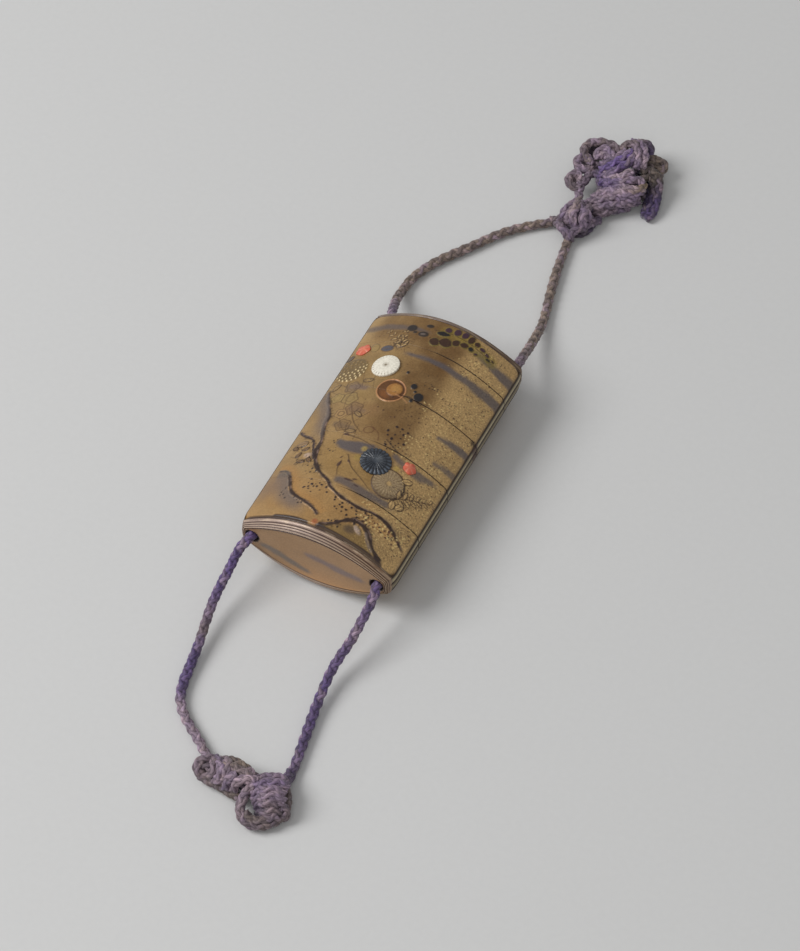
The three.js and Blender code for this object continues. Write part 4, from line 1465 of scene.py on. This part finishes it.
def mixed(low, high, share):
    return low + (high - low) * share[:, None]


whiteFlower = {
    "centre": (-8.4, 17.8),
    "radius": 3.7,
    "petals": 24,
    "scallop": 0.004,
    "colour": tone(240, 235, 220),
    "crease": tone(140, 126, 104),
}


def whiteHeight(share, angle):
    petal = np.abs(np.cos(angle * whiteFlower["petals"] / 2))
    groove = 0.025 * ease(0.55, 0.8, share) * (1 - petal) ** 2
    if share > 0.985:
        return np.full_like(angle, 0.35)
    return 0.92 - 0.22 * share**4 - groove - 0.12 * math.exp(-((share / 0.08) ** 2))


def whiteColour(share, angle):
    petal = 1 - np.abs(np.cos(angle * whiteFlower["petals"] / 2))
    petal = petal**4 * ease(0.5, 0.9, share) * 0.35
    middle = math.exp(-((share / 0.11) ** 2)) * 1.3 + 0.25 * math.exp(-(((share - 0.2) / 0.06) ** 2))
    soil = 0.9 * ease(0.8, 0.86, share) * (1 - ease(0.92, 0.97, share))
    soil = soil * ease(0.2, 0.8, -np.sin(angle + 0.5)) * np.clip(np.cos(angle * 26), 0, 1) ** 3
    return mixed(whiteFlower["colour"], whiteFlower["crease"], np.clip(petal + middle + soil, 0, 1))


darkFlower = {
    "centre": (3.8, -12.3),
    "radius": 4.05,
    "petals": 22,
    "scallop": 0.02,
    "colour": tone(54, 60, 70),
    "deep": tone(22, 24, 30),
    "shine": tone(150, 156, 162),
    "tips": tone(108, 120, 134),
    "innerRow": 0.62,  # share of the radius where the outer petals begin, half a petal round
}


def darkCrease(share, angle):
    turn = angle * darkFlower["petals"] / 2 + math.pi * (share > darkFlower["innerRow"])
    return (1 - np.abs(np.cos(turn))) ** 1.5 * ease(0.12, 0.3, share)


def darkHeight(share, angle):
    tier = 0.048 * ease(0.6, 0.64, 1 - abs(share - 0.8) * 2)
    return 0.95 - 0.5 * share**2.4 - 0.2 * darkCrease(share, angle) + tier


def darkColour(share, angle):
    colour = mixed(darkFlower["colour"], darkFlower["deep"], darkCrease(share, angle))
    ring = 0.5 * math.exp(-(((share - 0.66) / 0.04) ** 2))
    colour = colour + (darkFlower["deep"] - colour) * ring
    off = np.hypot(share * np.cos(angle) - 0.12, share * np.sin(angle) - 0.25)
    rays = np.clip(np.cos(angle * 20), 0, 1) ** 2
    colour = mixed(colour, darkFlower["shine"], (0.35 + 0.6 * rays) * np.exp(-((off / 0.24) ** 2)))
    low = 0.35 + 0.65 * ease(-0.2, 0.9, -np.sin(angle - 0.7))
    tips = ease(0.7, 0.8, share) * (1 - ease(0.93, 0.99, share))
    tips = tips * np.clip(np.cos(angle * 22 + 0.8), 0, 1) ** 1.5
    return mixed(colour, darkFlower["tips"], 0.7 * tips * low)


coral = {"colour": tone(214, 100, 74), "pale": tone(238, 168, 138), "petals": 5, "scallop": 0.06}
upperBud = {**coral, "centre": (-17.8, 23.6), "radius": 1.85}
lowerBud = {**coral, "centre": (11.7, -8.9), "radius": 1.6}


def budCrease(angle):
    return (1 - np.abs(np.cos(angle * coral["petals"] / 2))) ** 2


def budHeight(share, angle):
    return 0.85 - 0.5 * share**2.2 - 0.08 * budCrease(angle) * ease(0.2, 0.6, share)


def budColour(share, angle):
    mix = 0.5 * budCrease(angle) * ease(0.1, 0.6, share) + 0.3 * math.exp(-((share / 0.5) ** 2))
    return mixed(coral["colour"], coral["pale"], mix)


def makeCarvings():
    white, dark, bud = (whiteHeight, whiteColour), (darkHeight, darkColour), (budHeight, budColour)
    makeCarving("whiteFlower", "white_flower", whiteFlower, *white, whiteInlay, "white_inlay")
    makeCarving("darkFlower", "dark_flower", darkFlower, *dark, darkInlay, "dark_inlay")
    makeCarving("coralBudUpper", "coral_bud_upper", upperBud, *bud, coralInlay, "coral_inlay")
    makeCarving("coralBudLower", "coral_bud_lower", lowerBud, *bud, coralInlay, "coral_inlay")


routes = {
    "start": [(17.5, 33.9, 11.339), (17.55, 37, 11.339), (17.8, 39.8, 11.339)],  # out of each channel
    "lowerLeft": [
        (-18.9, -43.5, 10.2), (-19.0, -49.6, 8.2), (-19.1, -55.0, 6.4), (-18.9, -59.1, 5.0),
        (-18.2, -63.6, 3.8), (-17.0, -69.8, 2.6), (-16.1, -75.8, 1.8), (-15.2, -81.2, 1.5),
        (-13.7, -85.6, 1.5), (-11.2, -89.0, 1.5), (-7.9, -91.8, 1.5), (-4.0, -94.6, 1.5),
        (-0.8, -97.2, 1.5), (1.2, -99.0, 1.5),
    ],
    "lowerRight": [
        (18.3, -43.5, 10.2), (18.2, -49.3, 8.2), (17.9, -54.7, 6.4), (17.2, -59.5, 5.0),
        (16.9, -63.6, 3.8), (17.3, -68.9, 2.8), (18.0, -74.4, 2.0), (19.0, -80.1, 1.6),
        (20.1, -86.0, 1.5), (21.1, -91.4, 1.5), (21.6, -96.0, 1.5), (21.4, -99.0, 1.5),
    ],
    "upperLeft": [
        (-19.4, 43.3, 10.3), (-21.3, 48.2, 7), (-23.1, 53.8, 3.8), (-23.8, 59, 1.8), (-23.6, 63.4, 1.5),
        (-21.9, 68.8, 1.5), (-19.4, 73.6, 1.5), (-16.5, 78, 1.5), (-13.6, 82.4, 1.5), (-10.8, 86.8, 1.5),
        (-7.6, 91, 1.5), (-4, 94.6, 1.5), (-0.4, 97.6, 1.5), (1.6, 99, 1.5),
    ],
    "upperRight": [
        (18.0, 43.4, 10.3), (17.4, 47, 8.6), (16.8, 51, 6.4), (16.2, 55.2, 4.6), (15.6, 59.8, 3.1),
        (15, 63.9, 2.1), (13.8, 69, 1.5), (12.2, 75, 1.5), (10.8, 81, 1.5), (9.6, 87, 1.5),
        (8.7, 92.4, 1.5), (8, 96.4, 1.5),
    ],
}
cordShades = {  # share of the length and the colour there
    "lowerLeft": [
        (0, violet * 0.85), (0.3, violet * 0.85), (0.37, mauve * 0.5 + violet * 0.3),
        (0.46, mauve * 0.35 + brown * 0.3), (0.52, violet * 0.75), (0.7, violet * 0.8),
        (0.76, mauve * 0.8 + violet * 0.1), (1, mauve * 0.75 + brown * 0.25),
    ],
    "lowerRight": [
        (0, mauve * 0.5 + violet * 0.3), (0.12, violet * 0.8), (0.3, mauve * 0.35 + violet * 0.45),
        (0.45, violet * 0.8), (0.75, violet * 0.7), (0.9, violet * 0.6 + brown * 0.2),
        (1, violet * 0.4 + brown * 0.4),
    ],
    "upperLeft": [(0, violet * 0.9), (0.12, violet * 0.6 + brown * 0.4), (0.3, brown * 0.9), (1, brown)],
    "upperRight": [
        (0, violet * 0.9), (0.1, violet * 0.5 + brown * 0.5), (0.25, brown * 0.9), (1, brown * 0.95),
    ],
    "inside": [(0, violet), (1, violet * 0.8 + brown * 0.2)],
}
insideRun = {"x": 17.5, "halfLength": 33.6}
cordNodes = {
    "lowerLeft": "cord_lower_left",
    "lowerRight": "cord_lower_right",
    "upperLeft": "cord_upper_left",
    "upperRight": "cord_upper_right",
}


def makeCord(name, nodeName, points, shades, phase):
    line = curveThrough(points, braid["step"])
    shell, faces, looks = braidTube(line, phase=phase)
    obj = makeMesh(name, shell, faces, cordColour(looks, shades), {"fibre": looks["fibre"]})
    finishPiece(obj, silkCord, nodeName)
    return obj, line


def makeCords():
    for k, (name, nodeName) in enumerate(cordNodes.items()):
        across, along = np.sign(routes[name][0][:2])
        start = [(across * x, along * y, z) for x, y, z in routes["start"]]
        obj, line = makeCord(name + "Cord", nodeName, start + routes[name], cordShades[name], 0.7 * k)
    for k, (side, way) in enumerate((("left", -1), ("right", 1))):
        x, end = way * insideRun["x"], insideRun["halfLength"]
        points = [(x, -end, midZ), (x, 0, midZ), (x, end, midZ)]
        makeCord(side + "InsideCord", "cord_" + side + "_inside", points, cordShades["inside"], k)


def makeKnot(name, nodeName, strands, tints, size):
    points, faces, colours, fibres = [], [], [], []
    for k, (strand, route) in enumerate(strands.items()):
        line = curveThrough(route, 0.3)
        line[:, 2] = np.maximum(line[:, 2], 1.4 * size)
        tube, tubeFaces, looks = braidTube(line, size, 0.5 * k)
        shades = list(zip(np.linspace(0, 1, len(tints[strand])), tints[strand]))
        # painted shade: the lower, deeper parts of each knot are darkened
        depthShade = 0.62 + 0.38 * ease(1.5, 7.5, tube[:, 2])  # the knot is darker deep down
        start = sum(len(made) for made in points)
        faces += [[v + start for v in face] for face in tubeFaces]
        points.append(tube)
        colours.append(cordColour(looks, shades) * depthShade[:, None])
        fibres.append(looks["fibre"])
    extra = {"fibre": np.vstack(fibres)}
    obj = makeMesh(name, np.vstack(points), faces, np.vstack(colours), extra)
    finishPiece(obj, silkCord, nodeName)


lowerStrands = {
    "endLoop": [
        (4, -99.9, 4.2), (2.1, -100.6, 4.8), (0.8, -102.2, 4.6), (0.8, -103.6, 3.8), (2, -104.2, 2.8),
        (3.6, -103.7, 2.2),
    ],
    "endInner": [(2.6, -99.4, 3.4), (4.5, -101.5, 5), (5.2, -103.4, 5), (4.5, -104.3, 3.6)],
    "wrapOne": [
        (3.4, -98.7, 3), (5.8, -101.1, 5.6), (7.3, -103.1, 6), (7.1, -104.5, 4.4), (5.8, -104.4, 2.4),
    ],
    "wrapTwo": [
        (6.7, -104.3, 2.6), (8.1, -104.1, 4.6), (8.6, -103, 6.2), (8.1, -101.2, 6.4), (6, -98.6, 4),
    ],
    "topOne": [
        (5, -99, 3.6), (7.2, -98.5, 4.4), (9.7, -98.7, 4.8), (12.5, -99.4, 4.8), (14.9, -100.2, 4.4),
    ],
    "topTwo": [
        (7.2, -101.6, 5.8), (9, -101.2, 6.4), (11.6, -101.5, 6.6), (14.3, -102, 6.4), (16.3, -102, 5.6),
    ],
    "beadOne": [(9.9, -105.6, 3.2), (9.7, -104.8, 5), (10.4, -103.8, 6.2), (11.5, -102.7, 6.6)],
    "beadTwo": [
        (11.8, -105.3, 3.4), (11.8, -104.6, 5.2), (12.8, -103.8, 6.4), (14.4, -102.9, 6.6),
        (15.8, -102.4, 5.8),
    ],
    "lowerLong": [
        (1.8, -104.1, 1.8), (4.5, -104.7, 2), (7.4, -104.9, 2.2), (10.1, -105.4, 2.2), (12.7, -105.9, 2.4),
        (14.5, -106, 2.6),
    ],
    "heart": [
        (2.1, -102, 2.8), (5.4, -101.7, 3.4), (9.2, -102.4, 3.6), (12.8, -103.2, 3.8), (15.5, -102.7, 3.8),
    ],
    "ringOuter": [
        (16.3, -103, 5.6), (15.4, -104.8, 5.2), (15.2, -107, 4.4), (15.6, -109.3, 3.4), (16.8, -110.7, 2.4),
        (18.9, -111.5, 2), (21.2, -111, 1.9), (23.2, -109.6, 1.9), (24.6, -107.6, 2), (25.3, -105.1, 2.4),
        (25, -102.7, 3), (23.7, -100.5, 3.6), (22.3, -99.2, 4.2),
    ],
    "ringInner": [
        (17, -109.5, 3), (18.7, -110.4, 2.6), (21.1, -110.1, 2.6), (23, -108.6, 2.8), (24.5, -106.7, 3.2),
    ],
    "endCore": [(1.5, -102.8, 3.2), (2.3, -102.3, 4), (3.9, -102.4, 4.2)],
    "bandTop": [
        (15.4, -101.1, 4.4), (16.8, -99.8, 4.8), (18.7, -98.8, 5), (20.6, -97.9, 4.6), (22.4, -98.1, 3.8),
    ],
    "bandTopTwo": [
        (16.7, -103.5, 5.6), (18, -102, 6.2), (20.1, -100.8, 6.2), (22.1, -100, 5.6), (23.7, -100, 4.6),
    ],
    "innerOne": [
        (16.5, -105.1, 4.4), (18.1, -104.1, 5.8), (20.1, -103.4, 6.6), (22.3, -102.4, 6.2),
        (24, -102.4, 5.2),
    ],
    "innerTwo": [
        (17.5, -106.2, 3.8), (19.1, -105.4, 5.4), (21.1, -104.7, 6.4), (23.1, -103.9, 6),
        (24.7, -103.8, 4.8),
    ],
    "innerThree": [
        (18.4, -106.6, 2.8), (20, -106.3, 4.6), (22, -105.7, 5.6), (23.8, -104.7, 5), (24.7, -104.6, 3.8),
    ],
    "innerFour": [(19.4, -107.2, 1.8), (21.1, -107.8, 3.2), (22.9, -106.9, 4), (24.7, -105.5, 3.4)],
    "innerCore": [
        (18, -102.2, 2.6), (20.3, -101.3, 3), (22.6, -101.8, 3), (23.2, -104.3, 2.4), (21, -105.3, 2.2),
    ],
    "rightLobe": [(24.2, -104.8, 4.2), (25.6, -104.7, 3.4), (25.9, -105.9, 2.2), (24.6, -106.6, 1.8)],
    "cordIn": [(21, -92.9, 1.6), (21.5, -96.1, 2.8), (21.9, -98.5, 3.6), (21.2, -100.4, 4)],
}
upperStrands = {
    "topArch": [
        (3.4, 120.1, 6), (1.2, 120.9, 6.8), (0, 123.5, 7.4), (1.3, 125.3, 8), (3.6, 126.3, 8.4),
        (6.1, 126.5, 8.6), (8.4, 126.1, 8.6), (9.8, 125.6, 8.2),
    ],
    "egg": [
        (4.8, 121.4, 6.4), (4.1, 123.1, 7.4), (5.3, 124.5, 8.2), (7.5, 123.9, 8.2), (8.6, 122.4, 7.6),
        (8.1, 121, 6.8),
    ],
    "leftRing": [
        (4.2, 119.6, 5.8), (1.4, 120.9, 6.6), (0.1, 119.2, 6.6), (0.7, 117.2, 6.2), (2.7, 117, 5.8),
        (4, 118.1, 5.6),
    ],
    "leftDown": [
        (4.1, 118.7, 5.6), (4.6, 116.6, 5.2), (4.3, 114.4, 4.8), (4, 112.1, 4.6), (4.8, 109.2, 4.6),
        (6.5, 105.7, 5.2),
    ],
    "ear": [
        (4.3, 111.1, 4.6), (2.5, 110.6, 5), (0.6, 111.7, 5.4), (0.5, 113.7, 5.8), (1.8, 114.6, 5.8),
        (3.3, 113.5, 5.2), (4, 111.3, 4.8),
    ],
    "holeTop": [(4.1, 116.1, 5), (5.3, 117.3, 5.2), (7.1, 117.4, 5.4), (8.7, 116.3, 5.4)],
    "holeRight": [
        (6.3, 118.6, 4.6), (8.1, 116.1, 4.2), (9.5, 113.5, 3.8), (9.4, 110.7, 3.8), (8.4, 107.7, 4.2),
    ],
    "violetOne": [
        (7.2, 117.7, 7), (8.8, 118.5, 8), (10.6, 120.5, 9), (12.2, 122.9, 9.6), (12.9, 125.7, 9.6),
    ],
    "violetTwo": [(8.7, 117.2, 6.6), (11, 118, 8), (12.8, 120, 9), (14, 122.4, 9.4), (13.9, 125.2, 9.2)],
    "violetThree": [(6.5, 120.1, 6.4), (8.4, 121.2, 7.6), (10.2, 123.1, 8.4), (11.3, 125.8, 9)],
    "archOne": [
        (10.1, 125.8, 8.4), (10.5, 127.6, 9.2), (12.3, 128.2, 9.8), (14.4, 126.2, 9.8), (15.8, 123.7, 9.2),
        (16.1, 121.4, 8.2),
    ],
    "archTwo": [
        (11.1, 129.7, 8.6), (13.7, 129.5, 9.2), (16, 127.4, 9.2), (17.1, 124.7, 8.6), (17.3, 122.4, 7.8),
    ],
    "farLobe": [(12.5, 131.1, 7.6), (14.5, 132.1, 7.4), (16.3, 131.1, 6.8), (16.5, 128.9, 6.2)],
    "brownStrap": [
        (15.7, 128.5, 6.4), (18.3, 128.9, 6), (20.8, 129.5, 5), (21.6, 128.6, 4.4), (21, 126.6, 4),
    ],
    "brownStrapTwo": [(16.1, 127.4, 5.6), (18.5, 127.6, 5.2), (20.8, 127.9, 4.2), (21.3, 126, 3.6)],
    "dropOne": [
        (17.6, 122, 6.8), (18.8, 123.8, 6.6), (21.2, 123.8, 6.2), (22.8, 122.6, 5), (23.6, 120.4, 3.8),
        (24.5, 117.3, 2.6), (24.8, 114.1, 1.6), (23.9, 111.7, 1.4),
    ],
    "dropTwo": [
        (18.5, 120.7, 5.8), (19.7, 122.4, 5.8), (21.5, 121.9, 5), (22.3, 119.8, 3.8), (23, 117.1, 2.6),
        (23.4, 114.5, 1.6), (22.7, 112.2, 1.4),
    ],
    "dropThree": [(19.5, 121.3, 3.6), (21.2, 118.9, 2.6), (22.1, 116.6, 1.6), (22.6, 113.9, 1.3)],
    "rowOne": [(7.5, 116.9, 5.8), (10.1, 116.6, 7), (12.9, 116.2, 8), (14.7, 117.5, 8.6), (16, 119.8, 8.4)],
    "paleBead": [(13.7, 116.3, 8), (14.7, 117.4, 9), (15.8, 119.3, 8.8)],
    "rowTwo": [
        (8.5, 115.1, 5.4), (11.2, 115, 6.8), (13.8, 115.2, 7.8), (16.3, 116.6, 8.2), (18.3, 118.3, 7.8),
        (20, 118.1, 7),
    ],
    "rowThree": [
        (10.1, 114.1, 5), (12.6, 114.5, 6.4), (15.4, 114.3, 7.4), (18.4, 114.5, 7.6), (20, 116.2, 7),
        (20, 118.4, 6.4),
    ],
    "rowFour": [
        (8.6, 109.8, 4), (10.2, 111.5, 5), (12, 112.4, 6), (14.7, 112.4, 6.8), (17.6, 113, 6.8),
        (19.7, 115.2, 6.2), (20.1, 117.4, 5.6),
    ],
    "rowFive": [
        (8, 107.7, 4), (10.2, 108.9, 4.6), (12.6, 110.4, 5.4), (15.4, 111.9, 5.6), (18.1, 112.8, 5.4),
        (20, 115.2, 4.8),
    ],
    "rowSix": [
        (8.6, 106.4, 3.4), (11.2, 107.6, 4), (13.9, 109.4, 4.4), (16.6, 111.2, 4.4), (18.8, 113.2, 3.8),
        (20.2, 115.3, 3.2),
    ],
    "rowSeven": [
        (9.6, 106.2, 2.2), (12.3, 107.1, 2.4), (14.5, 109.1, 2.6), (16.4, 111, 2.4), (18.2, 113.1, 2),
    ],
    "fillOne": [(1.2, 122.6, 4.4), (1.2, 125, 5), (3.4, 127.1, 5.6), (6.8, 127.5, 5.8), (9.8, 126.8, 5.8)],
    "fillTwo": [
        (2.7, 121.9, 4.2), (3.9, 123.9, 5.2), (5.8, 124.5, 5.8), (8.2, 124.4, 6), (10.4, 124.7, 6.2),
    ],
    "fillThree": [(-0.1, 120.2, 4.8), (1.8, 120.3, 4.8), (4.1, 119.9, 4.4), (6.2, 120.2, 4.6)],
    "fillFour": [(4.4, 120.5, 5), (6, 121, 5.4), (7.4, 121.8, 5.6)],
    "eggCore": [(5.1, 122.3, 6.8), (5.7, 123.2, 7.8), (6.8, 123.2, 7.8), (7.5, 122.2, 7.2)],
    "earCore": [(0.6, 113.2, 4.2), (1.7, 113.2, 4.2), (3, 113.2, 3.8)],
    "coreHigh": [
        (6.8, 120.5, 4.6), (8.9, 122.7, 5.6), (11.7, 124.3, 6.4), (14.3, 124.6, 6.4), (16.8, 122.8, 5.6),
    ],
    "coreMid": [
        (8.6, 117.7, 4), (10.7, 119, 4.8), (13.8, 118.8, 5.4), (16.8, 119.2, 5.4), (18.6, 118.8, 4.6),
    ],
    "coreLow": [(10.1, 115.3, 2.8), (12.8, 116.1, 3.4), (15.9, 116.3, 3.6), (18.4, 117.6, 3)],
    "coreRight": [(16.2, 124.2, 4), (18.4, 122.4, 3.6), (19.9, 120, 3), (20.6, 117.3, 2.2)],
    "collarOne": [
        (6.1, 106.6, 5.2), (5, 103.9, 5.4), (4.2, 101.2, 4.8), (4.4, 100.3, 3.2), (5.9, 100.6, 2),
    ],
    "collarTwo": [(7.8, 106.5, 5), (7.3, 103, 6.6), (7.2, 100, 6.4), (8.1, 99, 4.6), (8.9, 99.9, 2.6)],
    "collarThree": [(9, 106.5, 4), (9.6, 103.2, 6), (9.8, 100.6, 6), (10.4, 100, 4.2), (10.8, 101, 2.2)],
    "collarFour": [(6, 106.5, 5.4), (7, 102.5, 7), (6.5, 100.2, 6.4), (6.1, 99.1, 4.6)],
    "collarCore": [(4.4, 102, 3.6), (6.9, 101.6, 4.4), (8.5, 103.2, 4.4), (9.5, 106.3, 3.4)],
    "collarFive": [(5.3, 105.1, 5.2), (8.2, 103.3, 6.2), (10.4, 102.4, 5.6), (11, 102, 3.6)],
    "collarSix": [(5.7, 100, 3), (8.3, 99.6, 3.6), (10.4, 100.9, 3.6), (11.2, 104.2, 2.6)],
    "inLeft": [(0.9, 99.5, 1.6), (2.7, 100, 2.2), (4.3, 100.6, 3.4), (5.3, 101.6, 4.4)],
    "crossLeft": [(3.1, 99, 2.4), (5.5, 96.8, 3.4), (7.4, 95.6, 3.4), (8.5, 95, 2)],
    "crossRight": [
        (8.8, 94.8, 1.8), (8.7, 96.2, 3.2), (9.4, 97.6, 3.8), (10.7, 99.5, 3.6), (11.7, 102.4, 3),
        (12.9, 105.3, 1.8),
    ],
    "under": [(4.4, 99.7, 1.6), (7.3, 98.5, 1.6), (9.8, 98.5, 1.5), (11.3, 100.8, 1.5), (11.7, 103.3, 1.6)],
}

grey = mauve * 0.5 + brown * 0.5
soft = violet * 0.4 + mauve * 0.6
paleSilk = mauve * 1.25 + brown * 0.15
# very dark silk for strands deep in the knots and in their gaps: painted shade
deepShadeSilk = violet * 0.35
# strands laid deep in each knot to fill its gaps get much darker tints: painted shade
lowerTints = {name: (mauve * 0.9, grey) for name in lowerStrands} | {
    "wrapOne": (soft, mauve),
    "topOne": (brown * 0.95, brown * 0.85),
    "topTwo": (brown, grey),
    "beadOne": (soft, mauve),
    "beadTwo": (mauve, paleSilk),
    "lowerLong": (grey, brown * 0.8),
    "ringOuter": (mauve, brown * 0.95),
    "ringInner": (brown * 0.85, mauve * 0.8),
    "endCore": (mauve * 0.45, mauve * 0.6),
    "heart": (mauve * 0.35, deepShadeSilk),
    "bandTop": (mauve, soft),
    "bandTopTwo": (soft, soft),
    "innerOne": (soft, mauve),
    "innerTwo": (soft * 0.9, mauve),
    "innerThree": (soft * 0.8, grey),
    "innerFour": (soft * 0.7, grey),
    "innerCore": (violet * 0.3, violet * 0.3),
    "cordIn": (violet * 0.8, soft),
}
# here too the strands filling the knot's gaps get much darker tints: painted shade
upperTints = {name: (mauve * 0.9, soft) for name in upperStrands} | {
    "topArch": (grey * 0.75, grey * 0.7),
    "fillOne": (mauve * 0.4, violet * 0.4),
    "fillTwo": (mauve * 0.4, violet * 0.45),
    "fillThree": (mauve * 0.45, mauve * 0.4),
    "fillFour": (mauve * 0.5, violet * 0.5),
    "eggCore": (mauve * 1.1, mauve),
    "earCore": (mauve * 0.5, mauve * 0.5),
    "egg": (mauve, soft),
    "leftRing": (soft * 0.8, mauve * 0.8),
    "leftDown": (mauve * 0.7, mauve),
    "ear": (grey * 0.7, mauve * 0.9),
    "holeTop": (mauve * 0.7, violet * 0.6),
    "holeRight": (violet * 0.5, mauve * 0.8),
    "violetOne": (violet * 1.1, tone(120, 97, 154)),
    "violetTwo": (mauve * 0.8, violet * 1.0, mauve * 0.7),
    "violetThree": (soft * 0.9, mauve * 0.8),
    "archOne": (brown, soft * 1.1),
    "archTwo": (soft, mauve),
    "farLobe": (grey * 0.8, violet * 0.6),
    "brownStrap": (brown * 0.8, brown * 0.9),
    "brownStrapTwo": (brown * 0.7, brown * 0.8),
    "dropOne": (brown * 0.55, brown * 0.45, violet * 0.75, violet * 1.05),
    "dropTwo": (brown * 0.5, brown * 0.4, violet * 0.7, violet * 0.95),
    "dropThree": (deepShadeSilk, violet * 0.8),
    "paleBead": (paleSilk, paleSilk * 0.9),
    "rowOne": (violet * 0.8, mauve, soft * 0.8),
    "rowTwo": (violet * 0.9, mauve),
    "rowThree": (violet * 0.7, mauve * 0.9, tone(150, 130, 96)),
    "rowFour": (paleSilk * 0.9, soft),
    "coreHigh": (deepShadeSilk, deepShadeSilk),
    "coreMid": (deepShadeSilk, deepShadeSilk),
    "coreLow": (deepShadeSilk, deepShadeSilk),
    "coreRight": (violet * 0.3, brown * 0.3),
    "collarFour": (brown * 1.1, mauve),
    "collarCore": (deepShadeSilk, deepShadeSilk),
    "inLeft": (grey, mauve),
    "under": (mauve * 0.5, violet * 0.5),
}

makeCords()
makeKnot("lowerKnot", "lower_knot", lowerStrands, lowerTints, 0.96)
makeKnot("upperKnot", "upper_knot", upperStrands, upperTints, 0.94)
print("knots made")
makeCases()
makeCarvings()
print("case and carvings made")

studio = {
    "floorHalf": 3,  # metres, as everything in the studio
    "floor": ((0.66, 0.66, 0.655, 1), (0.69, 0.69, 0.685, 1)),
    "grainPerMm": 0.6,
    "key": {"place": (-0.92, -0.45, 1.0), "size": 0.9, "power": 13.4},
    "fill": {"place": (0.3, -0.9, 1.1), "size": 0.8, "power": 2.0},
    "world": 0.33,
}


def makeLamp(name):
    settings = studio[name]
    data = bpy.data.lights.new(name + "Light", "AREA")
    data.shape = "DISK"
    data.size = settings["size"]
    data.energy = settings["power"]
    lamp = bpy.data.objects.new(name + "Light", data)
    lamp.location = settings["place"]
    lamp.rotation_euler = Vector(settings["place"]).to_track_quat("Z", "Y").to_euler()
    bpy.context.scene.collection.objects.link(lamp)
    return lamp


def makeStudio():
    material, tree, shader, place = newMaterial("paperFloor", 0.9)
    grain = noise(tree, place, studio["grainPerMm"] / mm, 2.0)
    tree.links.new(mixColour(tree, grain, *studio["floor"]), shader.inputs["Base Color"])
    half = studio["floorHalf"]
    corners = [(-half, -half, 0), (half, -half, 0), (half, half, 0), (-half, half, 0)]
    mesh = bpy.data.meshes.new("paperFloor")
    mesh.from_pydata(corners, [], [(0, 1, 2, 3)])
    mesh.materials.append(material)
    floor = bpy.data.objects.new("paperFloor", mesh)
    bpy.context.scene.collection.objects.link(floor)
    world = bpy.data.worlds.new("studio")
    world.use_nodes = True
    background = world.node_tree.nodes["Background"]
    background.inputs["Color"].default_value = (1, 1, 1, 1)
    background.inputs["Strength"].default_value = studio["world"]
    bpy.context.scene.world = world
    makeLamp("key")
    makeLamp("fill")
    bpy.context.scene.view_settings.view_transform = "Standard"


makeStudio()
print("studio made")

print("scene finished")
